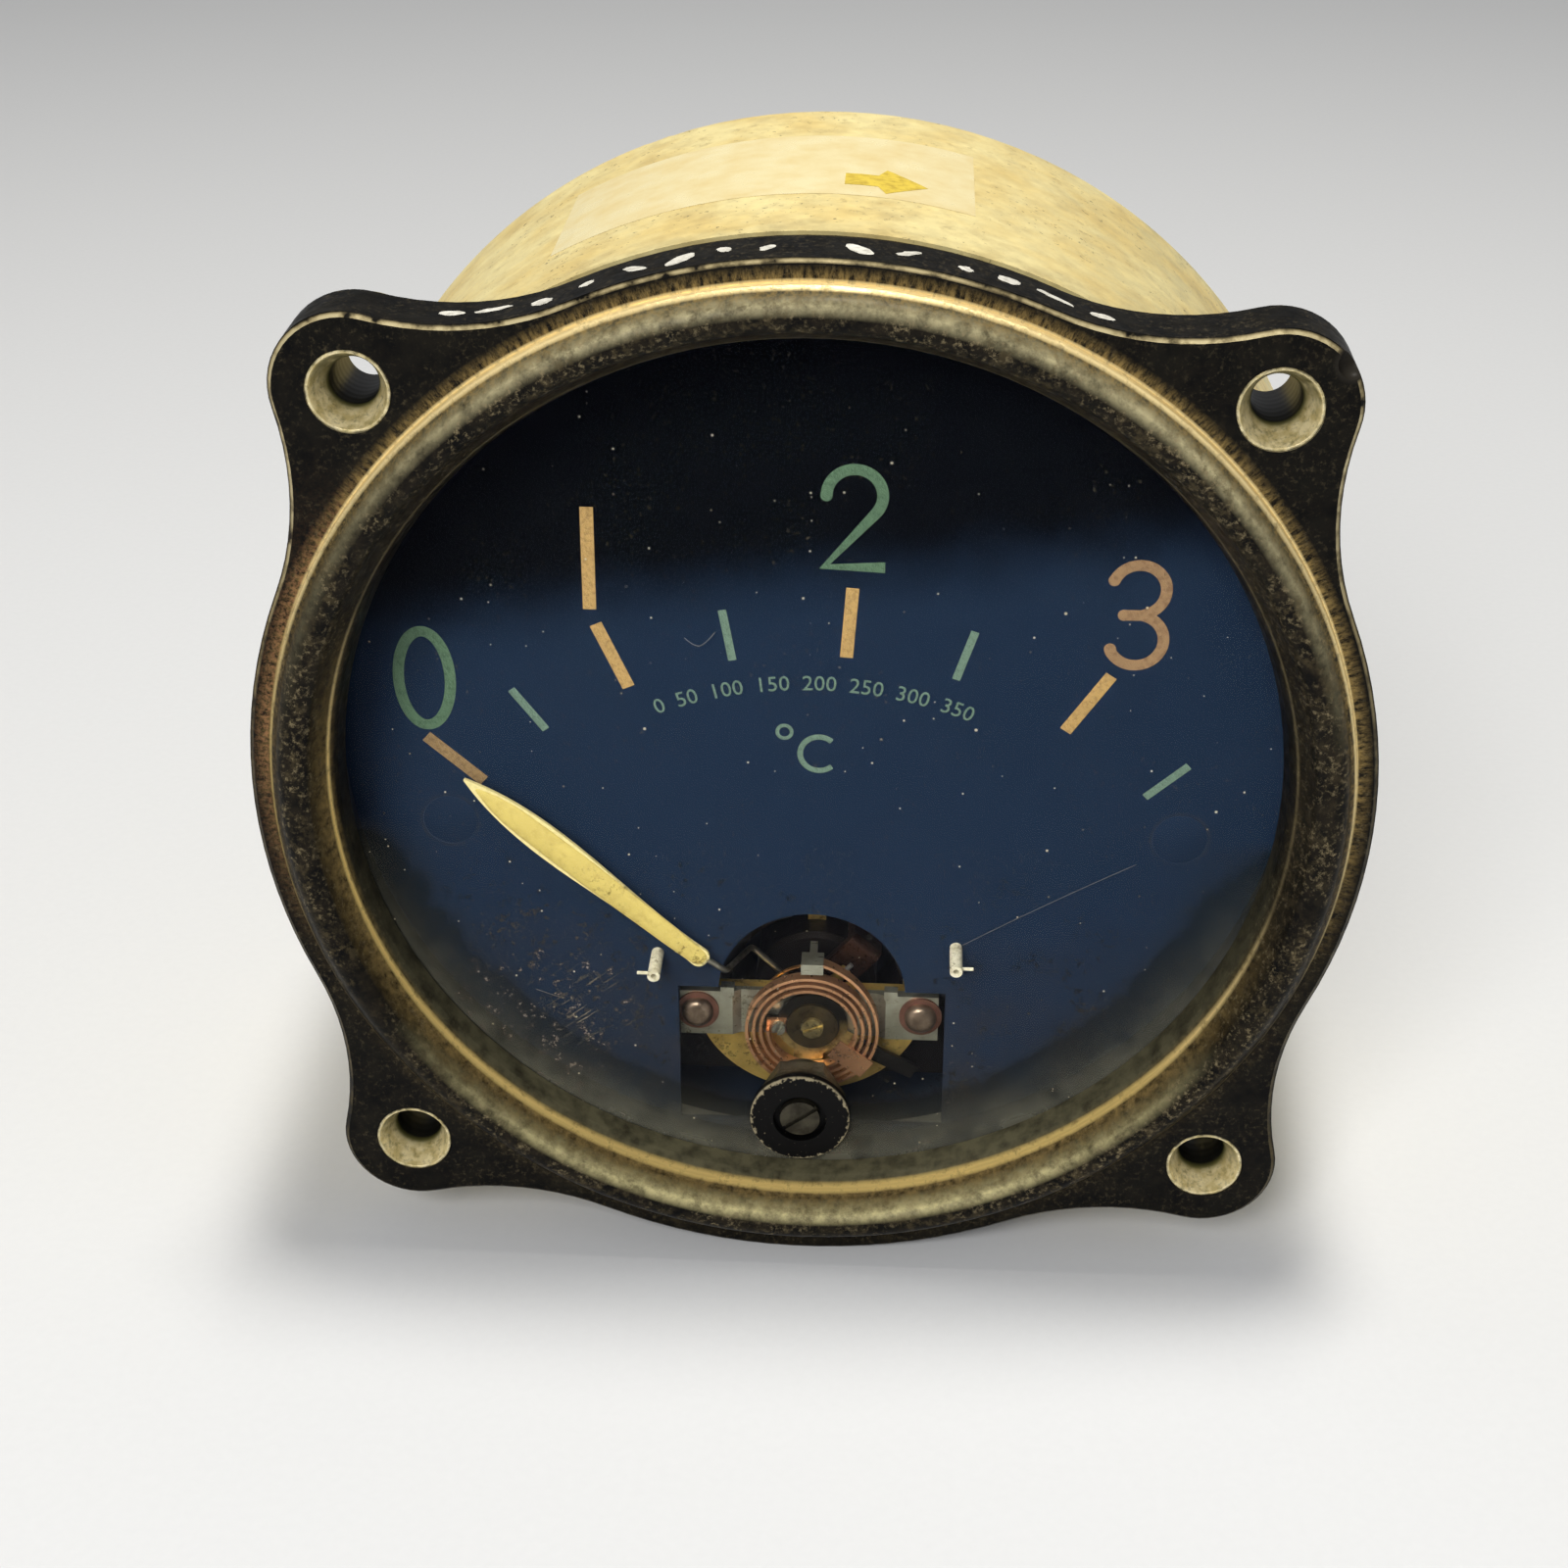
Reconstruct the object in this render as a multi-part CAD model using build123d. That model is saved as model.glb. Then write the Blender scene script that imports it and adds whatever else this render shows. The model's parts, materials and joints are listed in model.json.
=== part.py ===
from build123d import *
import os
from math import atan2, cos, degrees, hypot, radians, sin, sqrt

# Panel-mounted moving-coil temperature gauge, in millimetres.
# The face looks towards -Y, X is to the right of the face and Z is up.
# The origin lies on the axis of the round flange, at the front of its mounting ears.

# Panel interface: four threaded inserts on a square, a flange and a raised ring
flange_radius = 41.275
hole_reach = flange_radius + 3.175
hole_pitch = hole_reach * sqrt(2)
flange_thickness = 5.0
edge_bevel = 0.35
ear_radius = 5.6
ear_blend = 22.0
insert_radius = 2.95
insert_play = 0.05
thread_radius = 1.75
mouth_radius = 2.65
mouth_depth = 0.5
collar_radius = 4.4
collar_length = 3.6
collar_play = 0.3
chip_radius = 1.1
chip_angle = 36.0

# Raised ring and the opening for the glass
ring_radius = flange_radius - 1.575
shoulder_height = 0.45
crown_outer = ring_radius - 0.55
crown_inner = crown_outer - 2.75
crown_height = 1.95
crown_edge = 0.92
lip_radius = crown_inner - 0.85
lip_depth = 0.8
opening_radius = lip_radius - 0.65
opening_flare = 0.25
opening_land = 1.5
seat_depth = 3.5
glass_radius = opening_radius + 2.3
side_play = 0.2

# Stack behind the seat, front to rear
gasket_thickness = 0.3
gasket_width = 2.0
glass_thickness = 2.0
glass_ring_length = 1.2
glass_ring_lip = 0.9
spacer_length = 2.5
dial_thickness = 0.6
plate_thickness = 1.2
snap_thickness = 1.0
snap_width = 1.3
snap_gap_angle = 24.0
groove_depth = 0.7
groove_play = 0.05

# Case
case_radius = flange_radius - 0.075
case_wall = 0.8
case_rear = 41.0
case_corner = 2.2
case_play = 0.1
band_width = 1.4
spigot_tail = 0.9
spigot_wall = 1.6

# Dial window and pivot
pivot_height = 8.4 - opening_radius
window_half_width = 10.8
window_top = pivot_height + 4.7
window_bottom = pivot_height - 8.5
arch_radius = 7.55
arch_height = pivot_height + 4.3
plate_window_margin = 2.9
plate_rim = 2.0
dial_screw_spread = opening_radius - 6.5
dial_screw_height = -6.9
dial_screw_head = 2.1
dial_screw_shank = 0.9
dial_screw_tail = 1.3

# Pointer
zero_angle = -48.2
blade_tip_reach = opening_radius + 1.1
blade_root_reach = 11.5
blade_skew = 0.75
blade_half_width = 1.22
blade_root_half = 0.9
blade_shoulder_half = 1.1
blade_shoulder_back = 4.6
blade_tip_half = 0.06
blade_root_round = 0.7
blade_thickness = 0.3
blade_gap = 1.15
fill_margin = 0.16
fill_thickness = 0.12
wire_radius = 0.24
crank_turn = 3.7
crank_top_reach = 9.75
crank_foot_reach = 7.4
crank_bend = 0.6
hub_radius = 1.1
hub_length = 0.6

# Pointer stops, which stand on a circle about the pivot
stop_reach = 14.65
stop_angles = (-57.7, 51.6)
stop_radius = 0.5
stop_length = 3.5
stop_hole = 0.24
stop_peg = 0.32
stop_spur = 0.13

# Zero adjuster, which passes through the glass
adjuster_across = -0.65
adjuster_height = pivot_height - 4.0
bushing_head_radius = 4.0
bushing_head_length = 0.8
bushing_shank_radius = 2.5
bushing_bevel = 0.12
screw_head_radius = 1.6
screw_recess_radius = 2.15
screw_recess_depth = 0.75
screw_head_length = 0.65
screw_shaft_radius = 1.0
running_play = 0.04
slot_width = 0.35
slot_depth = 0.35
slot_angle = 37.0
adjuster_washer_radius = 3.3
adjuster_washer_thickness = 0.3
adjuster_nut_flats = 6.2
adjuster_nut_length = 1.3
crank_disc_radius = 2.8
crank_disc_thickness = 0.6
crank_pin_radius = 0.35
crank_pin_throw = 2.2
pin_play = 0.06

# Compensating spiral and zero lever, in the window
spiral_gap = 0.2
spiral_width = 1.0
spiral_inner = 3.5
spiral_pitch = 0.58
spiral_strip = 0.25
spiral_half_turns = 7
spiral_tail_radius = 7.0
tab_angle = 127.0
tab_inner = 2.3
tab_outer = 5.7
tab_width = 1.8
tab_thickness = 0.15
tab_gap = 0.1
lever_gap = 0.1
lever_thickness = 0.4
lever_hub_radius = 2.9
lever_ear_reach = 3.9
lever_arm_width = 2.4
lever_arm_reach = 7.4
lever_slot_start = 5.4
lever_tail_angle = 118.0
lever_tail_width = 1.3
lever_tail_reach = 9.6
anchor_screw_reach = 2.75
anchor_head_radius = 0.55
anchor_head_length = 0.5
foot_thickness = 0.35
stud_reach = 5.75
stud_width = 1.8
stud_height = 0.95
stud_length = 1.9
stud_post = 0.6

# Bridge in the window
bar_half_width = 10.6
bar_offset = -0.3
bar_top = pivot_height + 2.8
bar_bottom = pivot_height - 1.4
bar_thickness = 0.5
bar_step = 0.4
bar_step_at = 5.6
bar_step_run = 0.7
bar_tab = 0.4
bar_tab_width = 1.1
bar_tab_at = 6.7
bridge_thickness = 1.0
bridge_bow_radius = 9.6
bridge_bow_height = pivot_height + 2.3
bridge_screw_spread = 9.15
bridge_screw_height = pivot_height + 1.0
bridge_screw_head = 1.3
bridge_screw_shank = 0.7
bridge_screw_bite = 3.0
bridge_screw_dome = 0.75
washer_radius = 1.75
washer_thickness = 0.2
screw_play = 0.05
bridge_pillar_radius = 1.5
jewel_radius = 0.9
jewel_head_length = 0.35
jewel_length = 2.1
jewel_nut_radius = 1.8
jewel_nut_flange = 2.1
jewel_nut_flange_length = 0.3
jewel_nut_length = 1.05
cup_radius = 0.3
cup_depth = 0.25

# Moving coil and magnet circuit
coil_clear = 0.4
pole_length = 10.0
pole_setback = 2.3
pole_bore = 7.1
pole_outer = 13.0
pole_top = pivot_height + 8.0
pole_bottom = pivot_height - 8.5
pole_gap = 2.0
core_radius = 5.1
core_end_play = 0.2
key_width = 1.5
key_head = 2.0
coil_half_width = 6.6
coil_side = 0.9
coil_bar = 0.8
coil_depth = 3.0
staff_radius = 0.55
staff_foot_radius = 1.2
staff_foot_length = 0.3
pivot_radius = 0.3
pivot_length = 0.45
pivot_play = 0.05
hairspring_inner = 0.9
hairspring_pitch = 1.05
hairspring_strip = 0.12
hairspring_width = 0.3
hairspring_gap = 0.3
hairspring_half_turns = 8
balance_reach = 4.6
balance_wire = 0.2
balance_weight_radius = 0.5
balance_weight_length = 1.4
magnet_inner = 13.0
magnet_outer = 20.0
magnet_thickness = 8.0
magnet_bow_height = pivot_height + 20.5
magnet_foot = pivot_height - 4.5
movement_pillar_radius = 2.2
movement_leg_drop = pivot_height + 4.5
movement_screw_radius = 1.1
movement_screw_head = 2.0
movement_screw_head_length = 1.3

# Rear bridge, terminals and case fixings
rear_pillar_length = 3.2
rear_bridge_thickness = 1.2
rear_bridge_half_width = 11.0
rear_bridge_half_height = 2.2
rear_screw_head_length = 0.8
post_across = 0.607 * case_radius
post_up = 0.473 * case_radius
post_radius = 2.2
post_spigot_radius = 1.2
case_screw_radius = 1.2
case_screw_head = 2.3
case_screw_head_length = 1.2
case_screw_bite = 8.0
terminal_spread = 8.5
terminal_height = 4.0
block_half_length = 19.5
block_half_height = 7.5
block_thickness = 5.0
block_spigot_radius = 4.0
block_spigot_tail = 0.3
block_screw_spread = 15.9
block_screw_radius = 1.1
block_screw_head = 2.0
block_screw_head_length = 1.0
stud_radii = {"positive": 2.4, "negative": 2.05}
stud_shank_grow = 0.3
stud_head_radius = 4.2
stud_head_length = 1.8
stud_reach_out = 15.0
terminal_washer_radius = 4.6
terminal_washer_thickness = 0.8
terminal_nut_ratio = 1.95
terminal_nut_length = 3.2
bobbin_height = (magnet_bow_height + magnet_outer + case_radius - case_wall) / 2
bobbin_flange_radius = 5.0
bobbin_core_radius = 2.6
bobbin_length = 10.0
bobbin_flange = 1.0
bobbin_bore = 1.1
winding_radius = 4.4
lead_radius = 0.55
lead_bend = 2.0

# Places along Y that follow from the stack
glass_front = seat_depth + gasket_thickness
glass_rear = glass_front + glass_thickness
glass_ring_rear = glass_rear + glass_ring_length
dial_front = glass_ring_rear + spacer_length
dial_rear = dial_front + dial_thickness
plate_rear = dial_rear + plate_thickness
snap_rear = plate_rear + snap_thickness
spigot_rear = snap_rear + spigot_tail
band_rear = flange_thickness + band_width
spiral_front = dial_rear + spiral_gap
spiral_rear = spiral_front + spiral_width
lever_front = spiral_rear + lever_gap
lever_rear = lever_front + lever_thickness
bar_front = lever_rear + 0.3
bar_rear = bar_front + bar_thickness
bar_end_front = bar_front - bar_step
bridge_rear = bar_rear + bridge_thickness
arm_plane = bridge_rear + 2 * hairspring_gap + hairspring_width + hub_length / 2
pole_front = arm_plane + pole_setback
pole_rear = pole_front + pole_length
coil_front = pole_front - coil_clear - coil_bar
coil_rear = pole_rear + coil_clear + coil_bar
magnet_front = pole_front + (pole_length - magnet_thickness) / 2
magnet_rear = magnet_front + magnet_thickness
rear_bridge_front = pole_rear + rear_pillar_length
rear_bridge_rear = rear_bridge_front + rear_bridge_thickness
case_inside = case_rear - case_wall
block_rear = case_rear + block_thickness

# Radii that follow from the fits
glass_bore = glass_radius + side_play
case_bore = case_radius - case_wall
spigot_radius = case_bore - case_play
stack_bore = spigot_radius - spigot_wall
stack_radius = stack_bore - side_play
spacer_inner = glass_radius - glass_ring_lip
pivot = (0.0, pivot_height)
adjuster = (adjuster_across, adjuster_height)


def slab(shape, front, rear):
    """A flat shape, drawn across X and up Z, made solid between two places on Y."""
    return extrude(Plane.XZ.offset(-rear) * shape, rear - front)


def rod(place, radius, front, rear):
    return slab(Pos(*place) * Circle(radius), front, rear)


def tube(place, outer, inner, front, rear):
    return slab(Pos(*place) * (Circle(outer) - Circle(inner)), front, rear)


def turned(outline, place=(0.0, 0.0)):
    """A closed outline of radius and Y, turned about an axis along Y."""
    face = make_face(Polyline(*outline, close=True))
    return Pos(place[0], 0, place[1]) * revolve(face, Axis.Y, 360)


def toward(angle, reach, place=pivot):
    """The point at an angle, clockwise from straight up, and a reach from a place."""
    a = radians(angle)
    return (place[0] + reach * sin(a), place[1] + reach * cos(a))


def strip(place, angle, near, far, width):
    """A flat bar pointing from a place at an angle, clockwise from straight up."""
    middle = toward(angle, (near + far) / 2, place)
    return Pos(*middle) * Rot(0, 0, -angle) * Rectangle(width, far - near)


def slot_in(body, place, angle, length, front):
    cut = Pos(*place) * Rot(0, 0, angle) * Rectangle(length, slot_width)
    return body - slab(cut, front - 1, front + slot_depth)


def flat_spiral(inner, pitch, thickness, half_turns, place, turn):
    """Half rings of growing radius, whose centres step to and fro, joined end to end."""
    shape = None
    for k in range(half_turns):
        radius = inner + k * pitch / 2
        side = -1 if k % 2 == 0 else 1
        centre = 0 if k % 2 == 0 else -pitch / 2
        ring = Pos(centre, 0) * (Circle(radius + thickness) - Circle(radius))
        reach = 2 * (radius + thickness)
        half = ring & (Pos(centre, side * reach / 2) * Rectangle(2 * reach, reach))
        shape = half if shape is None else shape + half
    return Pos(*place) * Rot(0, 0, turn) * shape


def hexagon(flats):
    return RegularPolygon(flats / 2, 6, major_radius=False)


def ear_places():
    half = hole_pitch / 2
    return [(x * half, z * half) for x in (-1, 1) for z in (-1, 1)]


def sides(spread, height, middle=0.0):
    return [(middle - spread, height), (middle + spread, height)]


# Housing

def flange_outline():
    """The round flange with an ear at each hole, blended by concave curves."""
    outline = Circle(flange_radius)
    for place in ear_places():
        outline += Pos(*place) * Circle(ear_radius)
    return fillet(outline.vertices(), ear_blend)


def bezel():
    flange = slab(flange_outline(), 0, flange_thickness)
    flange = chamfer(flange.edges().group_by(Axis.Y)[0], edge_bevel)
    flange -= rod((0, 0), glass_bore, -1, flange_thickness + 1)
    for place in ear_places():
        flange -= rod(place, insert_radius + insert_play, -1, flange_thickness + 1)
    land = seat_depth - opening_land
    crest = (crown_outer + crown_inner) / 2
    ring = Polyline(
        (crown_inner, -crown_edge),
        (lip_radius, lip_depth),
        (opening_radius + opening_flare, land),
        (opening_radius, seat_depth),
        (ring_radius, seat_depth),
        (ring_radius, 0),
        (ring_radius - 0.1, -shoulder_height),
        (crown_outer, -crown_edge),
    )
    crown = ThreePointArc((crown_outer, -crown_edge), (crest, -crown_height), (crown_inner, -crown_edge))
    raised = revolve(make_face(ring + crown), Axis.Y, 360)
    step = glass_rear + 0.2
    tail = turned([
        (glass_bore, seat_depth), (flange_radius - edge_bevel, seat_depth),
        (flange_radius - edge_bevel, band_rear), (spigot_radius, band_rear),
        (spigot_radius, spigot_rear), (stack_bore, spigot_rear),
        (stack_bore, step), (glass_bore, step),
    ])
    groove = tube((0, 0), stack_bore + groove_depth, stack_bore - 1,
                  plate_rear, snap_rear + groove_play)
    body = flange + raised + tail - groove
    corner = toward(90 - chip_angle, ear_radius, ear_places()[3])
    return body - Pos(corner[0], 0, corner[1]) * Sphere(chip_radius)


def mounting_inserts():
    outline = [
        (thread_radius, mouth_depth), (mouth_radius, 0), (insert_radius, 0),
        (insert_radius, flange_thickness), (collar_radius, flange_thickness),
        (collar_radius, flange_thickness + collar_length),
        (thread_radius, flange_thickness + collar_length),
    ]
    clear = rod((0, 0), case_radius + collar_play, flange_thickness, flange_thickness + 2 * collar_length)
    return [turned(outline, place) - clear for place in ear_places()]


def glass_gasket():
    return tube((0, 0), glass_radius, glass_radius - gasket_width, seat_depth, glass_front)


def cover_glass():
    glass = rod((0, 0), glass_radius, glass_front, glass_rear)
    return glass - rod(adjuster, bushing_shank_radius + insert_play, glass_front - 1, glass_rear + 1)


def glass_ring():
    step = glass_rear + 0.3
    return turned([
        (spacer_inner, glass_rear), (glass_radius, glass_rear), (glass_radius, step),
        (stack_radius, step), (stack_radius, glass_ring_rear), (spacer_inner, glass_ring_rear),
    ])


def spacer_ring():
    return tube((0, 0), stack_radius, spacer_inner, glass_ring_rear, dial_front)


def window(margin):
    """The opening over the movement: a rectangle with a round arch on top."""
    top = window_top + margin
    bottom = window_bottom - margin
    opening = Pos(0, (top + bottom) / 2) * Rectangle(2 * (window_half_width + margin), top - bottom)
    return opening + Pos(0, arch_height) * Circle(arch_radius + margin)


def stop_places():
    return [toward(angle, stop_reach) for angle in stop_angles]


def dial_screw_places():
    return sides(dial_screw_spread, dial_screw_height)


def dial():
    sheet = Circle(stack_radius) - window(0)
    for place in stop_places():
        sheet -= Pos(*place) * Circle(stop_peg + screw_play)
    plate = slab(sheet, dial_front, dial_rear)
    for place in dial_screw_places():
        plate -= countersunk_screw(place, screw_play)
    return plate


def countersunk_screw(place, grow=0.0):
    neck = dial_screw_shank + grow
    head = dial_screw_head + grow
    tail = plate_rear + dial_screw_tail
    return turned([(0, dial_front), (head, dial_front), (neck, dial_rear), (neck, tail), (0, tail)], place)


def dial_screws():
    screws = []
    for place in dial_screw_places():
        screw = countersunk_screw(place)
        screws.append(slot_in(screw, place, 0, 3 * dial_screw_head, dial_front))
    return screws


def pointer_stops():
    stops = []
    for place in stop_places():
        front = dial_front - stop_length
        post = rod(place, stop_radius, front, dial_front)
        post += rod(place, stop_peg, dial_front, dial_rear)
        post -= rod(place, stop_hole, front - 1, front + 1)
        away = stop_radius if place[0] > 0 else -stop_radius
        spur = Pos(place[0] + 1.7 * away, front + 0.5, place[1]) * Rot(0, 90, 0)
        stops.append(post + spur * Cylinder(stop_spur, 2 * stop_radius))
    return stops


def movement_plate():
    sheet = Circle(stack_radius) - (window(plate_window_margin) & Circle(stack_radius - plate_rim))
    for place in movement_pillar_places():
        sheet -= Pos(*place) * Circle(movement_screw_radius + screw_play)
    for place in post_places():
        sheet -= Pos(*place) * Circle(post_spigot_radius + screw_play)
    for place in dial_screw_places():
        sheet -= Pos(*place) * Circle(dial_screw_shank + screw_play)
    sheet -= Pos(0, bobbin_height) * Circle(bobbin_bore - screw_play)
    return slab(sheet, dial_rear, plate_rear)


def snap_ring():
    outer = stack_bore + groove_depth - groove_play
    ring = Circle(outer) - Circle(outer - snap_width)
    opening = Pos(0, outer) * Rectangle(2 * outer * sin(radians(snap_gap_angle / 2)), 4 * snap_width)
    return slab(ring - opening, plate_rear, snap_rear)


def case():
    """A drawn cup: a wall of even thickness with a rounded rear corner."""
    outer = rod((0, 0), case_radius, band_rear, case_rear)
    outer = fillet(outer.edges().group_by(Axis.Y)[-1], case_corner)
    inner = rod((0, 0), case_bore, band_rear - 1, case_inside)
    inner = fillet(inner.edges().group_by(Axis.Y)[-1], case_corner - case_wall)
    cup = outer - inner
    for place in post_places():
        cup -= rod(place, case_screw_radius + screw_play, case_inside - 1, case_rear + 1)
    for place in sides(terminal_spread, terminal_height):
        cup -= rod(place, block_spigot_radius + screw_play, case_inside - 1, case_rear + 1)
    for place in sides(block_screw_spread, terminal_height):
        cup -= rod(place, block_screw_radius + screw_play, case_inside - 1, case_rear + 1)
    return cup


def post_places():
    return [(x * post_across, z * post_up) for x in (-1, 1) for z in (-1, 1)]


def case_posts():
    posts = []
    for place in post_places():
        post = rod(place, post_radius, plate_rear, case_inside)
        post += rod(place, post_spigot_radius, dial_rear, plate_rear)
        bite = case_inside - case_screw_bite
        posts.append(post - rod(place, case_screw_radius + screw_play, bite - 0.5, case_inside + 1))
    return posts


def pan_screw(place, radius, head, head_length, tip, seat, slot):
    """A screw whose head stands behind its seat and whose tip is further forward."""
    screw = rod(place, head, seat, seat + head_length)
    screw = fillet(screw.edges().group_by(Axis.Y)[-1], head_length * 0.6)
    screw += rod(place, radius, tip, seat)
    cut = Pos(*place) * Rot(0, 0, slot) * Rectangle(3 * head, slot_width * 1.6)
    return screw - slab(cut, seat + head_length - slot_depth, seat + head_length + 1)


def case_screws():
    tip = case_inside - case_screw_bite
    return [
        pan_screw(place, case_screw_radius, case_screw_head, case_screw_head_length, tip, case_rear, 25 * k)
        for k, place in enumerate(post_places())
    ]


# Terminals

def terminal_block():
    half = block_half_length - block_half_height
    plan = Pos(0, terminal_height) * SlotCenterToCenter(2 * half, 2 * block_half_height)
    block = slab(plan, case_rear, block_rear)
    block = chamfer(block.edges().group_by(Axis.Y)[-1], 0.8)
    barrier = Pos(0, terminal_height) * Rectangle(2.0, 2 * block_half_height - 2)
    block += slab(barrier, block_rear - 0.5, block_rear + 4.5)
    names = ("negative", "positive")
    for name, place in zip(names, sides(terminal_spread, terminal_height)):
        block += rod(place, block_spigot_radius, case_inside - block_spigot_tail, case_rear)
        block -= rod(place, stud_bore(name), case_inside - 2, block_rear + 1)
    for place in sides(block_screw_spread, terminal_height):
        block -= rod(place, block_screw_radius + screw_play, case_rear - 1, block_rear + 1)
    return block


def terminal_block_screws():
    return [
        pan_screw(place, block_screw_radius, block_screw_head, block_screw_head_length,
                  case_inside - 2, block_rear, 60 * k)
        for k, place in enumerate(sides(block_screw_spread, terminal_height))
    ]


def terminal_place(name):
    return (terminal_spread if name == "positive" else -terminal_spread, terminal_height)


def terminal_stud(name):
    place = terminal_place(name)
    seat = case_inside - block_spigot_tail
    stud = slab(Pos(*place) * hexagon(1.8 * stud_head_radius), seat - stud_head_length, seat)
    shaft = rod(place, stud_radii[name], seat, case_rear + stud_reach_out)
    stud += chamfer(shaft.edges().group_by(Axis.Y)[-1], 0.5)
    return stud + rod(place, stud_radii[name] + stud_shank_grow, seat, nut_rear() + 0.3)


def stud_bore(name):
    return stud_radii[name] + stud_shank_grow + screw_play


def nut_rear():
    return block_rear + terminal_washer_thickness + terminal_nut_length


def terminal_washers():
    return [
        tube(terminal_place(name), terminal_washer_radius * radius / stud_radii["positive"],
             stud_bore(name), block_rear, block_rear + terminal_washer_thickness)
        for name, radius in stud_radii.items()
    ]


def terminal_nuts():
    nuts = []
    for name, radius in stud_radii.items():
        place = terminal_place(name)
        front = block_rear + terminal_washer_thickness
        flats = Rot(0, 0, 30) * hexagon(2 * radius * terminal_nut_ratio)
        nut = slab(Pos(*place) * flats, front, front + terminal_nut_length)
        nuts.append(nut - rod(place, stud_bore(name), front - 1, front + terminal_nut_length + 1))
    return nuts


# Zero adjuster

def adjuster_bushing():
    front = glass_front - bushing_head_length
    head = rod(adjuster, bushing_head_radius, front, glass_front)
    head = chamfer(head.edges().group_by(Axis.Y)[0], bushing_bevel)
    body = head + rod(adjuster, bushing_shank_radius, glass_front, bushing_rear())
    body -= rod(adjuster, screw_recess_radius, front - 1, front + screw_recess_depth)
    return body - rod(adjuster, screw_shaft_radius + running_play, front, bushing_rear() + 1)


def bushing_rear():
    return glass_rear + adjuster_washer_thickness + adjuster_nut_length + 0.2


def adjuster_washer():
    return tube(adjuster, adjuster_washer_radius, bushing_shank_radius + insert_play,
                glass_rear, glass_rear + adjuster_washer_thickness)


def adjuster_nut():
    front = glass_rear + adjuster_washer_thickness
    nut = slab(Pos(*adjuster) * hexagon(adjuster_nut_flats), front, front + adjuster_nut_length)
    return nut - rod(adjuster, bushing_shank_radius + insert_play, front - 1, front + adjuster_nut_length + 1)


def zero_screw():
    """A slotted screw that carries an off-centre pin behind the glass."""
    front = glass_front - bushing_head_length
    seat = front + screw_recess_depth
    disc_front = bushing_rear() + running_play
    disc_rear = disc_front + crank_disc_thickness
    head_front = seat - running_play - screw_head_length
    screw = rod(adjuster, screw_head_radius, head_front, seat - running_play)
    screw = slot_in(screw, adjuster, slot_angle, 3 * screw_head_radius, head_front)
    screw += rod(adjuster, screw_shaft_radius, seat - running_play, disc_front)
    screw += rod(adjuster, crank_disc_radius, disc_front, disc_rear)
    pin = (adjuster[0], adjuster[1] - crank_pin_throw)
    return screw + rod(pin, crank_pin_radius, disc_rear, lever_rear + 0.1)


def lever_fork_angle():
    """The direction from the pivot to the pin, clockwise from straight up."""
    across = adjuster[0] - pivot[0]
    down = adjuster[1] - crank_pin_throw - pivot[1]
    return degrees(atan2(across, down))


def zero_lever():
    fork = lever_fork_angle()
    plan = Pos(*pivot) * Circle(lever_hub_radius)
    plan += strip(pivot, fork, 0, lever_arm_reach, lever_arm_width)
    plan += strip(pivot, lever_tail_angle, 0, lever_tail_reach, lever_tail_width)
    plan += strip(pivot, -90, 0, lever_ear_reach, 2.4 * anchor_head_radius)
    plan -= Pos(*pivot) * Circle(jewel_nut_radius + running_play)
    slot = 2 * (crank_pin_radius + pin_play)
    plan -= strip(pivot, fork, lever_slot_start, lever_arm_reach + 1, slot)
    plan -= Pos(*toward(-90, anchor_screw_reach)) * Circle(0.5 * anchor_head_radius)
    return slab(plan, lever_front, lever_rear)


def spiral_outer():
    return spiral_inner + (spiral_half_turns - 1) * spiral_pitch / 2 + spiral_strip


def bimetal_spiral():
    """Turns of strip on edge, from a foot under the anchor screw out to the stud."""
    coil = flat_spiral(spiral_inner, spiral_pitch, spiral_strip, spiral_half_turns, pivot, 0)
    centre = (pivot[0] + spiral_outer() - spiral_tail_radius, pivot[1])
    tail = Pos(*centre) * (Circle(spiral_tail_radius) - Circle(spiral_tail_radius - spiral_strip))
    reach = 2 * spiral_tail_radius
    quarter = Pos(pivot[0] + stud_width / 2 + reach / 2, pivot[1] + reach / 2) * Rectangle(reach, reach)
    body = slab(coil + (tail & quarter), spiral_front, spiral_rear)
    foot = strip(pivot, -90, 2.0, spiral_inner + spiral_strip, 2.2 * anchor_head_radius)
    foot -= Pos(*toward(-90, anchor_screw_reach)) * Circle(0.5 * anchor_head_radius)
    foot -= Pos(*pivot) * Circle(jewel_nut_flange + 0.1)
    body += slab(foot, lever_front - foot_thickness, lever_front)
    tab = slab(strip(pivot, tab_angle, tab_inner, tab_outer, tab_width), tab_front(), tab_front() + tab_thickness)
    root = strip(pivot, tab_angle, spiral_inner, spiral_inner + spiral_strip, tab_width)
    return body + tab + slab(root, tab_front(), spiral_front + tab_thickness)


def tab_front():
    return spiral_front - tab_gap - tab_thickness


def spiral_screw():
    place = toward(-90, anchor_screw_reach)
    seat = lever_front - foot_thickness
    front = seat - anchor_head_length
    screw = rod(place, anchor_head_radius, front, seat)
    screw += rod(place, 0.5 * anchor_head_radius - 0.02, seat, lever_rear)
    return slot_in(screw, place, 60, 3 * anchor_head_radius, front)


def hairspring_stud():
    """A block at the outer end of the spiral that reaches back to hold the hairspring."""
    front = tab_front()
    block = strip(pivot, 0, stud_reach, stud_reach + stud_height, stud_width)
    body = slab(block, front, front + stud_length)
    post = strip(pivot, 0, stud_reach, stud_reach + stud_post, stud_post)
    return body + slab(post, front + stud_length, hairspring_front() + hairspring_width)


# Bridge, pivots and moving coil

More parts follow.
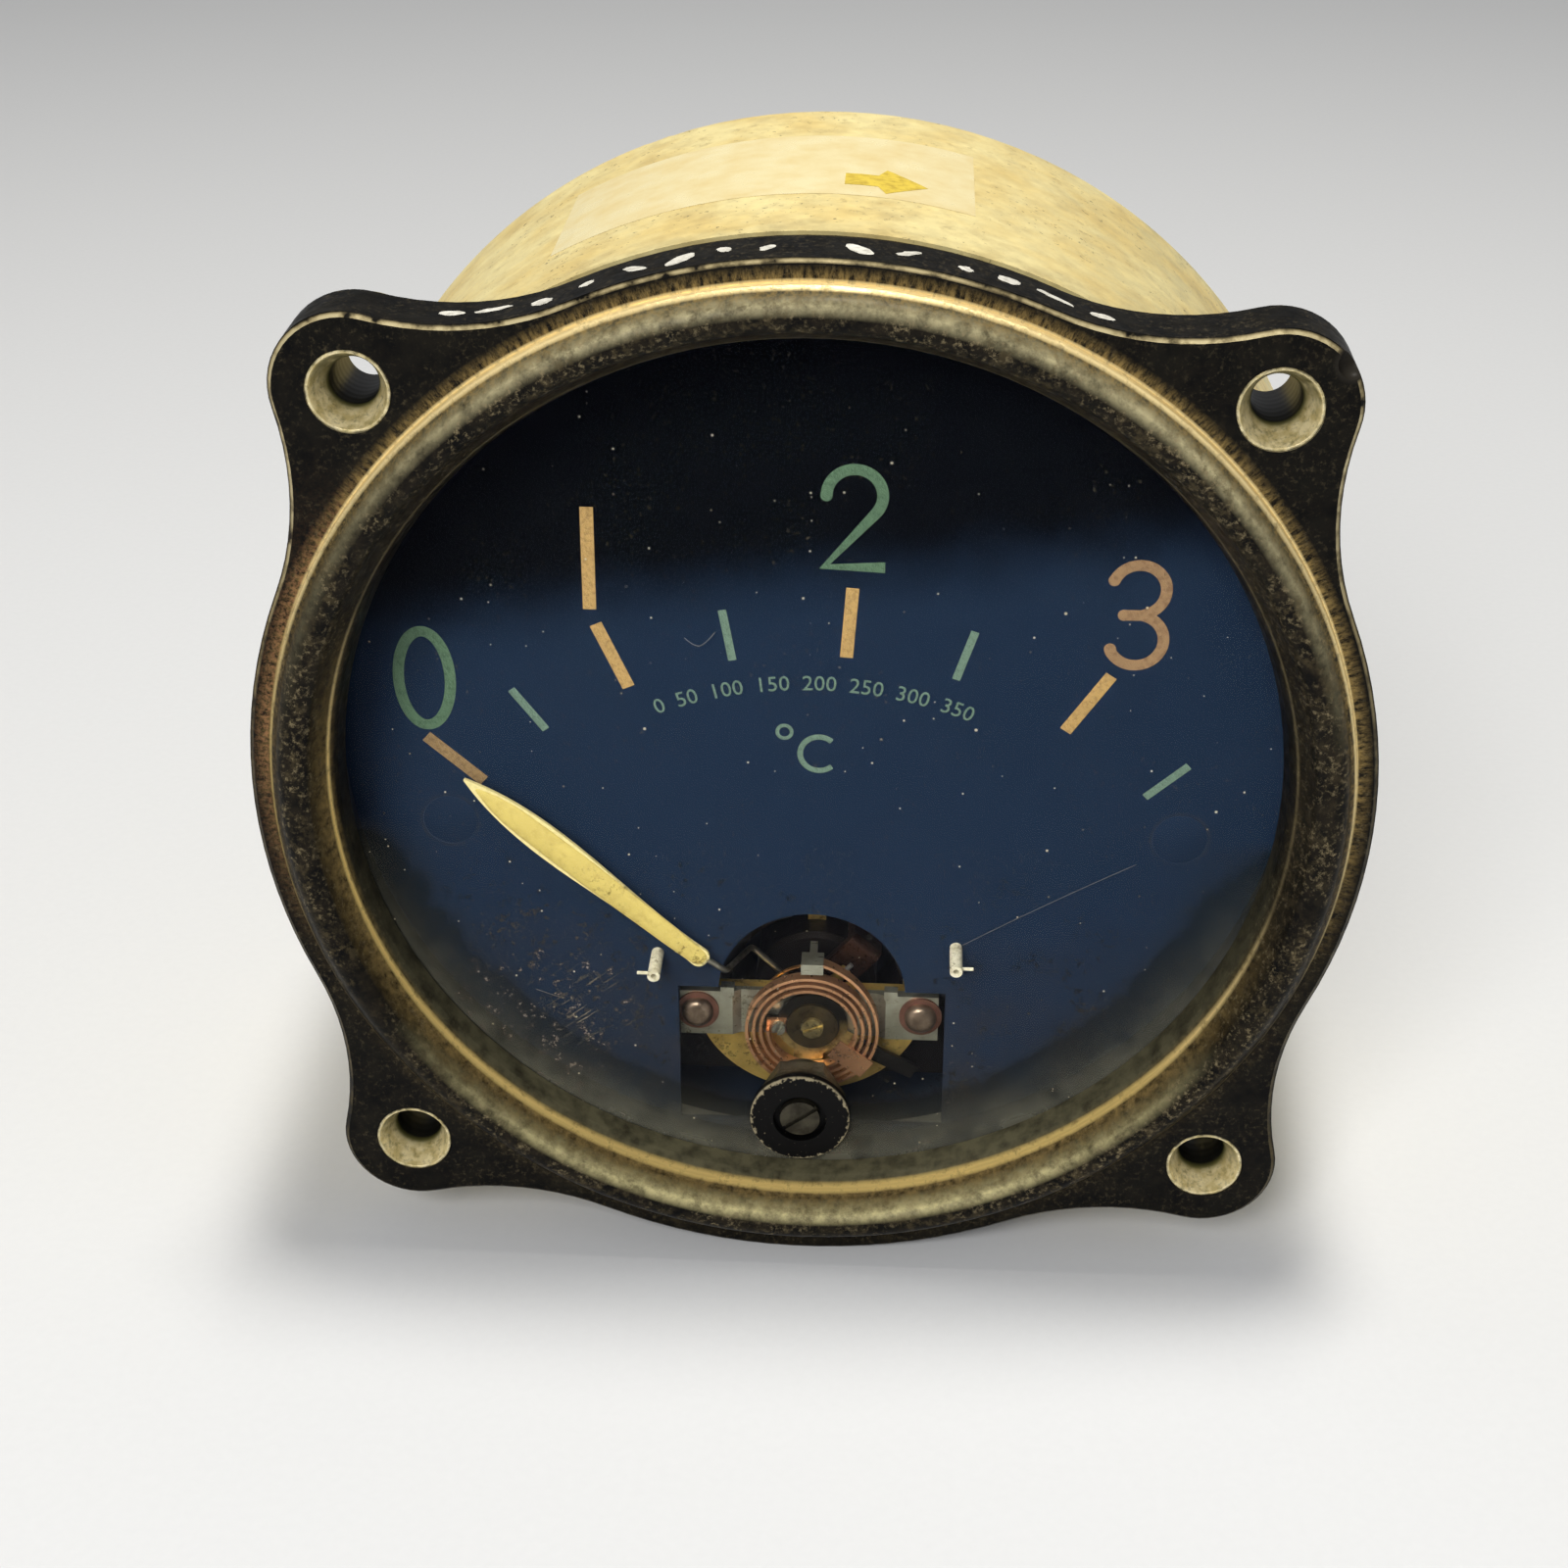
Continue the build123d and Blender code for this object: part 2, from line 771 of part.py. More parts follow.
def bridge_bar():
    """A flat bar whose ends stand a little forward of its middle."""
    half = bar_half_width
    profile = Polyline(
        (-half, bar_end_front), (-bar_step_at - bar_step_run, bar_end_front), (-bar_step_at, bar_front),
        (bar_step_at, bar_front), (bar_step_at + bar_step_run, bar_end_front), (half, bar_end_front),
        (half, bar_rear), (-half, bar_rear), close=True,
    )
    bar = Pos(bar_offset, 0, bar_bottom) * extrude(make_face(profile), bar_top - bar_bottom)
    for place in sides(bar_tab_at, bar_top, bar_offset):
        bar += slab(Pos(*place) * Rectangle(bar_tab_width, 2 * bar_tab), bar_end_front, bar_rear)
    for place in bridge_screw_places():
        bar -= rod(place, bridge_screw_shank + screw_play, bar_end_front - 1, bar_rear + 1)
    return bar - rod(pivot, jewel_radius + screw_play, bar_end_front - 1, bar_rear + 1)


def bridge_screw_places():
    return sides(bridge_screw_spread, bridge_screw_height, bar_offset)


def front_bridge():
    """The plate behind the bar, with a round bow below the pivot."""
    height = bar_top - bar_bottom
    plan = Pos(bar_offset, bar_bottom + height / 2) * Rectangle(2 * bar_half_width, height)
    bow = Pos(bar_offset, bridge_bow_height) * Circle(bridge_bow_radius)
    plan += bow & (Pos(bar_offset, bar_bottom - 10) * Rectangle(2 * bar_half_width, 20))
    for place in bridge_screw_places():
        plan -= Pos(*place) * Circle(bridge_screw_shank + screw_play)
    plan -= Pos(*pivot) * Circle(jewel_radius + screw_play)
    return slab(plan, bar_rear, bridge_rear)


def bridge_washers():
    return [
        tube(place, washer_radius, bridge_screw_shank + screw_play,
             bar_end_front - washer_thickness, bar_end_front)
        for place in bridge_screw_places()
    ]


def bridge_screws():
    screws = []
    seat = bar_end_front - washer_thickness
    for place in bridge_screw_places():
        head = rod(place, bridge_screw_head, seat - bridge_screw_dome, seat)
        head = fillet(head.edges().group_by(Axis.Y)[0], bridge_screw_dome * 0.8)
        screws.append(head + rod(place, bridge_screw_shank, seat, pole_front + bridge_screw_bite))
    return screws


def bridge_pillars():
    return [
        tube(place, bridge_pillar_radius, bridge_screw_shank + screw_play, bridge_rear, pole_front)
        for place in bridge_screw_places()
    ]


def front_jewel_screw():
    front = bar_front - jewel_nut_length - jewel_head_length
    tip = front + jewel_length + jewel_head_length
    screw = rod(pivot, jewel_radius, front, tip)
    screw = slot_in(screw, pivot, 20, 3 * jewel_radius, front)
    return screw - rod(pivot, cup_radius + pivot_play, tip - cup_depth, tip + 1)


def front_jewel_nut():
    front = bar_front - jewel_nut_length
    flange_rear = front + jewel_nut_flange_length
    bore = jewel_radius + screw_play
    return turned([
        (bore, front), (jewel_nut_flange, front), (jewel_nut_flange, flange_rear),
        (jewel_nut_radius, flange_rear), (jewel_nut_radius, bar_front), (bore, bar_front),
    ], pivot)


def front_jewel_tip():
    return bar_front - jewel_nut_length + jewel_length


def rear_jewel_tip():
    return rear_bridge_front - 0.2


def moving_coil():
    """A rectangular frame of wire that turns in the gap round the core."""
    half_length = (coil_rear - coil_front) / 2
    outer = Rectangle(2 * coil_half_width, 2 * half_length)
    outer = fillet(outer.vertices(), coil_side * 0.8)
    inner = Rectangle(2 * (coil_half_width - coil_side), 2 * (half_length - coil_bar))
    loop = extrude(outer - inner, coil_depth / 2, both=True)
    turn = zero_angle + 90
    place = Pos(pivot[0], coil_front + half_length, pivot[1]) * Rot(0, turn - 90, 0)
    return place * loop


def staff(front, rear, tip, foot):
    """A shaft on a foot, with a thin pivot at its outer end."""
    ahead = 1 if rear > front else -1
    shoulder = tip + ahead * pivot_length
    body = rod(pivot, staff_radius, min(shoulder, foot), max(shoulder, foot))
    body += rod(pivot, pivot_radius, min(tip, shoulder), max(tip, shoulder))
    end = foot + ahead * staff_foot_length
    return body + rod(pivot, staff_foot_radius, min(foot, end), max(foot, end))


def front_staff():
    tip = front_jewel_tip() - cup_depth + pivot_play
    return staff(tip, coil_front, tip, coil_front - staff_foot_length)


def rear_staff():
    tip = rear_jewel_tip() + cup_depth - pivot_play
    return staff(tip, coil_rear, tip, coil_rear + staff_foot_length)


def hairspring_front():
    return bridge_rear + hairspring_gap


def hairspring_turn(outer_angle):
    """Turns a spiral so that its outer end lies at an angle, clockwise from straight up."""
    return 90 - outer_angle + (180 if hairspring_half_turns % 2 else 0)


def hairspring(front, outer_angle):
    coil = flat_spiral(hairspring_inner, hairspring_pitch, hairspring_strip,
                       hairspring_half_turns, pivot, hairspring_turn(outer_angle))
    body = slab(coil, front, front + hairspring_width)
    return body + tube(pivot, hairspring_inner + hairspring_strip, staff_radius + 0.02,
                       front, front + hairspring_width)


def blade_outline(margin=0.0):
    """A willow leaf along +Y of its own plane, from a rounded root to a fine tip."""
    belly = (blade_root_reach + blade_tip_reach) / 2
    half = (
        (blade_root_half - margin, blade_root_reach + margin),
        (blade_half_width - margin, belly),
        (blade_shoulder_half - margin, blade_tip_reach - blade_shoulder_back),
        (blade_tip_half, blade_tip_reach - 8 * margin),
    )
    right = Spline(*half)
    left = Spline(*[(-x, y) for x, y in half])
    root = Line(left @ 0, right @ 0)
    tip = Line(right @ 1, left @ 1)
    leaf = make_face(Curve() + [right, tip, left, root])
    return fillet(leaf.vertices().group_by(Axis.Y)[0], blade_root_round - margin)


def blade_place():
    """Puts the blade at the zero mark, skewed a little about its tip."""
    tip = toward(zero_angle, blade_tip_reach)
    return Pos(*tip) * Rot(0, 0, -zero_angle + blade_skew) * Pos(0, -blade_tip_reach)


def blade_rear():
    return dial_front - blade_gap


def pointer():
    """The blade, with a wire that cranks back through the arch to a hub on the staff."""
    front = blade_rear() - blade_thickness
    blade = slab(blade_place() * blade_outline(), front, blade_rear())
    middle = blade_rear() + 0.6 * wire_radius
    root = (blade_place() * Pos(0, blade_root_reach + blade_root_round)).position
    points = [(root.X, middle, root.Y)]
    for reach, y in ((crank_top_reach, middle), (crank_foot_reach, arm_plane), (hub_radius - 0.1, arm_plane)):
        x, z = toward(zero_angle + crank_turn, reach)
        points.append((x, y, z))
    path = FilletPolyline(*points, radius=crank_bend)
    wire = sweep(Plane(origin=path @ 0, z_dir=path % 0) * Circle(wire_radius), path)
    hub = tube(pivot, hub_radius, staff_radius + 0.02, arm_plane - hub_length / 2, arm_plane + hub_length / 2)
    hub_hole = rod(pivot, staff_radius + 0.02, arm_plane - hub_length, arm_plane + hub_length)
    return blade + wire + hub - hub_hole


def pointer_fill():
    """Luminous paint laid on the front of the blade."""
    rear = blade_rear() - blade_thickness
    return slab(blade_place() * blade_outline(fill_margin), rear - fill_thickness, rear)


def balance_angles():
    return [zero_angle + turn for turn in (90, 180, 270)]


def balance_cross():
    """Three short arms behind the pointer that carry the balance weights."""
    front = arm_plane + hub_length / 2
    body = tube(pivot, hub_radius, staff_radius + 0.02, front, front + 2 * balance_wire)
    for angle in balance_angles():
        x, z = toward(angle, (hub_radius - 0.1 + balance_reach) / 2)
        length = balance_reach - hub_radius + 0.1
        arm = Pos(x, front + balance_wire, z) * Rot(0, angle, 0) * Cylinder(balance_wire, length)
        body += arm
    return body


def balance_weights():
    weights = []
    for angle in balance_angles():
        x, z = toward(angle, balance_reach - balance_weight_length)
        place = Pos(x, arm_plane + hub_length / 2 + balance_wire, z) * Rot(0, angle, 0)
        nut = Cylinder(balance_weight_radius, balance_weight_length)
        weights.append(place * (nut - Cylinder(balance_wire + 0.02, 2 * balance_weight_length)))
    return weights


# Magnet circuit

def pole_pieces():
    """Soft-iron blocks each side of the core, bored for the coil to turn in."""
    pieces = []
    for side in (-1, 1):
        width = pole_outer - pole_gap
        middle = side * (pole_gap + width / 2)
        block = Pos(middle, (pole_top + pole_bottom) / 2) * Rectangle(width, pole_top - pole_bottom)
        block -= Pos(*pivot) * Circle(pole_bore)
        for place in bridge_screw_places():
            block -= Pos(*place) * Circle(bridge_screw_shank + screw_play)
        pieces.append(slab(block, pole_front, pole_rear))
    return pieces


def iron_core():
    core = rod(pivot, core_radius, pole_front + core_end_play, pole_rear - core_end_play)
    return chamfer(core.edges().filter_by(GeomType.CIRCLE), 0.4)


def core_spacers():
    """Brass keys above and below the core that hold it between the pole pieces."""
    quarter = pole_length / 4
    keys = []
    for angle in (0, 180):
        reach = pole_bore + key_head
        key = strip(pivot, angle, 0, reach, key_width)
        key += strip(pivot, angle, pole_bore, reach, 2 * pole_gap)
        key -= Pos(*pivot) * Circle(core_radius)
        keys.append(slab(key, pole_front + quarter, pole_rear - quarter))
    return keys


def magnet():
    """A horseshoe whose legs grip the pole pieces."""
    bow = Pos(0, magnet_bow_height) * (Circle(magnet_outer) - Circle(magnet_inner))
    bow &= Pos(0, magnet_bow_height + magnet_outer) * Rectangle(3 * magnet_outer, 2 * magnet_outer)
    leg_width = magnet_outer - magnet_inner
    for side in (-1, 1):
        height = magnet_bow_height - magnet_foot
        middle = (side * (magnet_inner + leg_width / 2), magnet_foot + height / 2)
        bow += Pos(*middle) * Rectangle(leg_width, height)
    for place in movement_pillar_places():
        bow -= Pos(*place) * Circle(movement_screw_radius + screw_play)
    return slab(bow, magnet_front, magnet_rear)


def movement_pillar_places():
    across = (magnet_inner + magnet_outer) / 2
    return [(0, magnet_bow_height + across), (-across, movement_leg_drop), (across, movement_leg_drop)]


def movement_pillars():
    return [
        tube(place, movement_pillar_radius, movement_screw_radius + screw_play, plate_rear, magnet_front)
        for place in movement_pillar_places()
    ]


def movement_screws():
    return [
        pan_screw(place, movement_screw_radius, movement_screw_head, movement_screw_head_length,
                  dial_rear + 0.1, magnet_rear, 40 * k)
        for k, place in enumerate(movement_pillar_places())
    ]


# Rear bridge

def rear_bridge():
    plan = Pos(*pivot) * Rectangle(2 * rear_bridge_half_width, 2 * rear_bridge_half_height)
    plan = fillet(plan.vertices(), 1.2)
    for place in bridge_screw_places():
        plan -= Pos(*place) * Circle(bridge_screw_shank + screw_play)
    plan -= Pos(*pivot) * Circle(jewel_radius + screw_play)
    bridge = slab(plan, rear_bridge_front, rear_bridge_rear)
    stud = strip(pivot, 90, stud_reach, stud_reach + stud_post, stud_post)
    return bridge + slab(stud, rear_hairspring_front(), rear_bridge_front)


def rear_hairspring_front():
    return coil_rear + staff_foot_length + 0.3


def rear_pillars():
    return [
        tube(place, bridge_pillar_radius, bridge_screw_shank + screw_play, pole_rear, rear_bridge_front)
        for place in bridge_screw_places()
    ]


def rear_bridge_screws():
    return [
        pan_screw(place, bridge_screw_shank, bridge_screw_head, rear_screw_head_length,
                  pole_rear - bridge_screw_bite, rear_bridge_rear, 70 * k)
        for k, place in enumerate(bridge_screw_places())
    ]


def rear_jewel_screw():
    tip = rear_jewel_tip()
    rear = rear_bridge_rear + jewel_nut_length + jewel_head_length
    screw = rod(pivot, jewel_radius, tip, rear)
    cut = Pos(*pivot) * Rectangle(3 * jewel_radius, slot_width)
    screw -= slab(cut, rear - slot_depth, rear + 1)
    return screw - rod(pivot, cup_radius + pivot_play, tip - 1, tip + cup_depth)


def rear_jewel_nut():
    nut = slab(Pos(*pivot) * hexagon(2 * jewel_nut_radius), rear_bridge_rear, rear_bridge_rear + jewel_nut_length)
    return nut - rod(pivot, jewel_radius + screw_play, rear_bridge_rear - 1, rear_bridge_rear + 3)


# Resistor and leads

def resistor_bobbin():
    place = (0, bobbin_height)
    rear = plate_rear + bobbin_length
    body = rod(place, bobbin_core_radius, plate_rear, rear)
    body += rod(place, bobbin_flange_radius, plate_rear, plate_rear + bobbin_flange)
    body += rod(place, bobbin_flange_radius, rear - bobbin_flange, rear)
    return body - rod(place, bobbin_bore, plate_rear - 1, rear + 1)


def resistor_winding():
    return tube((0, bobbin_height), winding_radius, bobbin_core_radius,
                plate_rear + bobbin_flange, plate_rear + bobbin_length - bobbin_flange)


def bobbin_screw():
    rear = plate_rear + bobbin_length
    return pan_screw((0, bobbin_height), bobbin_bore - 2 * screw_play, 1.9 * bobbin_bore, bobbin_bore,
                     dial_rear + 0.1, rear, 15)


def lead_wires():
    head = case_inside - block_spigot_tail - stud_head_length
    bobbin_rear = plate_rear + bobbin_length
    across, up = terminal_place("positive")
    top = (bobbin_flange_radius * 0.72, bobbin_rear, bobbin_height)
    first = [(across, head, up), (across, head - 5, up), (top[0], bobbin_rear + 6, bobbin_height), top]
    lug = (-bridge_screw_spread, rear_bridge_rear + rear_screw_head_length, bridge_screw_height)
    second = [(-across, head, up), (-across, head - 4, up), (lug[0], lug[1] + 2.6, lug[2]), lug]
    leads = []
    for points in (first, second):
        path = FilletPolyline(*points, radius=lead_bend * 0.6)
        leads.append(sweep(Plane(origin=path @ 0, z_dir=path % 0) * Circle(lead_radius), path))
    return leads


parts = {
    "bezel": bezel(),
    "mounting_inserts": mounting_inserts(),
    "glass_gasket": glass_gasket(),
    "cover_glass": cover_glass(),
    "glass_ring": glass_ring(),
    "spacer_ring": spacer_ring(),
    "dial": dial(),
    "dial_screws": dial_screws(),
    "pointer_stops": pointer_stops(),
    "movement_plate": movement_plate(),
    "snap_ring": snap_ring(),
    "case": case(),
    "case_posts": case_posts(),
    "case_screws": case_screws(),
    "terminal_block": terminal_block(),
    "terminal_block_screws": terminal_block_screws(),
    "terminal_stud_positive": terminal_stud("positive"),
    "terminal_stud_negative": terminal_stud("negative"),
    "terminal_washers": terminal_washers(),
    "terminal_nuts": terminal_nuts(),
    "adjuster_bushing": adjuster_bushing(),
    "adjuster_washer": adjuster_washer(),
    "adjuster_nut": adjuster_nut(),
    "zero_screw": zero_screw(),
    "zero_lever": zero_lever(),
    "bimetal_spiral": bimetal_spiral(),
    "spiral_screw": spiral_screw(),
    "hairspring_stud": hairspring_stud(),
    "bridge_bar": bridge_bar(),
    "front_bridge": front_bridge(),
    "bridge_washers": bridge_washers(),
    "bridge_screws": bridge_screws(),
    "bridge_pillars": bridge_pillars(),
    "front_jewel_screw": front_jewel_screw(),
    "front_jewel_nut": front_jewel_nut(),
    "moving_coil": moving_coil(),
    "front_staff": front_staff(),
    "rear_staff": rear_staff(),
    "front_hairspring": hairspring(hairspring_front(), 0),
    "rear_hairspring": hairspring(rear_hairspring_front(), 90),
    "pointer": pointer(),
    "pointer_fill": pointer_fill(),
    "balance_cross": balance_cross(),
    "balance_weights": balance_weights(),
    "pole_pieces": pole_pieces(),
    "iron_core": iron_core(),
    "core_spacers": core_spacers(),
    "magnet": magnet(),
    "movement_pillars": movement_pillars(),
    "movement_screws": movement_screws(),
    "rear_bridge": rear_bridge(),
    "rear_pillars": rear_pillars(),
    "rear_bridge_screws": rear_bridge_screws(),
    "rear_jewel_screw": rear_jewel_screw(),
    "rear_jewel_nut": rear_jewel_nut(),
    "resistor_bobbin": resistor_bobbin(),
    "resistor_winding": resistor_winding(),
    "bobbin_screw": bobbin_screw(),
    "lead_wires": lead_wires(),
}

os.makedirs("parts", exist_ok=True)
for name, shape in parts.items():
    solids = shape if isinstance(shape, list) else [shape]
    flat = [solid for item in solids for solid in item.solids()]
    export_step(flat[0] if len(flat) == 1 else Compound(flat), f"parts/{name}.step")

throw = crank_pin_throw * cos(radians(180 - abs(lever_fork_angle())))
reach = hypot(adjuster[0] - pivot[0], adjuster[1] - crank_pin_throw - pivot[1])
print("zero lever turns", round(throw / reach, 5), "as far as the zero screw")
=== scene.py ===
import json
import math

import bpy
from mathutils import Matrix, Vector


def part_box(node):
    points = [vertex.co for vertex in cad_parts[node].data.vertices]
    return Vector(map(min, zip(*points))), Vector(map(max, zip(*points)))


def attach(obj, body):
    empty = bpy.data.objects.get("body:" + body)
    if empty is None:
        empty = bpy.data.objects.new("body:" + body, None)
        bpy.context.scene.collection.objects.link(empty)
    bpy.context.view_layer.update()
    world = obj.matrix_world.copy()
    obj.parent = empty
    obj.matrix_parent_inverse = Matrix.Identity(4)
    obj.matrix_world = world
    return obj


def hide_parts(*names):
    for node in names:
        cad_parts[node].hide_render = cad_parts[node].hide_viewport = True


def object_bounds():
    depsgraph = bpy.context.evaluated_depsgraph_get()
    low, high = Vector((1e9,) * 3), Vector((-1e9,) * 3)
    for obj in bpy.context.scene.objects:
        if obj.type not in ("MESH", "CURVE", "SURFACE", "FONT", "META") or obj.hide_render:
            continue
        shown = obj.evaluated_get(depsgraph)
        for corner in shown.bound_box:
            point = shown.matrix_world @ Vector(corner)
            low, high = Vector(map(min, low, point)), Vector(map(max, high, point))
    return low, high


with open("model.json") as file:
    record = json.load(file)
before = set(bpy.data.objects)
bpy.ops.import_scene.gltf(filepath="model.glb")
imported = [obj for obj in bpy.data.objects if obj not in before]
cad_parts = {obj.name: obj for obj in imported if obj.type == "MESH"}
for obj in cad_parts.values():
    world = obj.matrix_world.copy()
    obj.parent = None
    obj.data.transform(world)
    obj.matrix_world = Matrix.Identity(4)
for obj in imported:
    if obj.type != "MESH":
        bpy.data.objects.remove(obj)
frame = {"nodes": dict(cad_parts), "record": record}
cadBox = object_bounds()
nodes = frame["nodes"]
mm = 0.001
dialFace = 9.5  # the dial's front, behind the front of the ears
pivot = (0.0, -26.5)  # what the pointer turns about, across and up
glassShift = 0.43  # marks stand this much higher, to look right through the glass
print("frame loaded with", len(nodes), "nodes")


def linear(hexText):
    # a colour as read off a screen, turned into the linear values that shaders take
    parts = [int(hexText[i:i + 2], 16) / 255 for i in (0, 2, 4)]
    return tuple(c / 12.92 if c <= 0.04045 else ((c + 0.055) / 1.055) ** 2.4 for c in parts) + (1.0,)


def feed(tree, node, inputs):
    for key, value in inputs.items():
        if isinstance(value, bpy.types.Node):
            value = value.outputs[0]
        if isinstance(value, bpy.types.NodeSocket):
            tree.links.new(value, node.inputs[key])
        else:
            node.inputs[key].default_value = value


def add(tree, kind, inputs=None, **settings):
    node = tree.nodes.new("ShaderNode" + kind)
    for key, value in settings.items():
        setattr(node, key, value)
    feed(tree, node, inputs or {})
    return node


def newFinish(name):
    material = bpy.data.materials.new(name)
    material.use_nodes = True
    tree = material.node_tree
    return material, tree, tree.nodes["Principled BSDF"]


def millimetres(tree, scale=(1, 1, 1), turn=(0, 0, 0), shift=(0, 0, 0)):
    # the piece's own coordinates in millimetres, stretched, turned or moved where a pattern needs it
    coords = add(tree, "TexCoord")
    return add(tree, "Mapping", {
        "Vector": coords.outputs["Object"],
        "Scale": [1000 * s for s in scale],
        "Rotation": turn,
        "Location": shift,
    })


def blotches(tree, place, size, low=0.4, high=0.6, detail=3.0, rough=0.55):
    # soft patches of about that size in millimetres, 0 outside them and 1 inside
    noise = add(tree, "TexNoise", {"Vector": place, "Scale": 1 / size, "Detail": detail, "Roughness": rough})
    return add(tree, "MapRange", {"Value": noise, "From Min": low, "From Max": high})


def ringBand(tree, radius, middle, half):
    # 1 on a circle of that radius, fading to 0 at half a band away
    away = add(tree, "Math", {0: radius, 1: middle}, operation="SUBTRACT")
    away = add(tree, "Math", {0: away}, operation="ABSOLUTE")
    return add(tree, "MapRange", {"Value": away, "From Min": 0.0, "From Max": half,
                                  "To Min": 1.0, "To Max": 0.0})


def times(tree, *masks):
    result = masks[0]
    for mask in masks[1:]:
        result = add(tree, "Math", {0: result, 1: mask}, operation="MULTIPLY")
    return result


def eitherOf(tree, *masks):
    result = masks[0]
    for mask in masks[1:]:
        result = add(tree, "Math", {0: result, 1: mask}, operation="MAXIMUM")
    return result


def layered(tree, look, base, **masks):
    # colours of the look laid one over the other, each where the mask that carries its name is 1
    colour = linear(look[base]) if isinstance(base, str) else base
    for name, mask in masks.items():
        colour = add(tree, "MixRGB", {0: mask, 1: colour, 2: linear(look[name])})
    return colour


def dress(node, material):
    mesh = nodes[node].data
    mesh.materials.clear()
    mesh.materials.append(material)


# worn black enamel on brass: near-black satin paint, clouded and speckled with brown, rubbed through to fine
# gold lines;
# painted highlights lie on the ring's crown, and the gold lines and the flange's rim are painted brightest where
# light falls
bezelLook = {
    "paint": "060606", "cloud": "12110d", "brown": "2a241a", "speck": "85785b", "patch": "4a412d",
    "sheen": "aea580", "lowSheen": "d3c893", "bareMetal": "fbe3a6", "lipGold": "e6c87c", "halo": "8a7446",
    "rimMetal": "dcd2ab", "wallDust": "625e48", "copper": "9c7350", "oldCopper": "3f2f22", "chip": "25221d",
    "shoulder": 39.6, "lip": 35.6, "upperSheen": 38.6, "lowerSheen": 36.7, "flange": 41.0, "ringRear": 1.2,
    "shoulderHalf": (0.22, 0.34), "lipHalf": (0.13, 0.24), "haloHalf": (1.1, 0.95), "sheenHalf": (0.8, 0.7),
    "openingWall": (35.5, 35.36), "rubDepth": (0.3, 0.14),
    "chipPlace": (35.96, 0.0, 34.72), "chipSize": (1.5, 1.15),
    "paintRoughness": 0.3, "metalRoughness": 0.3, "specular": 0.07,
}


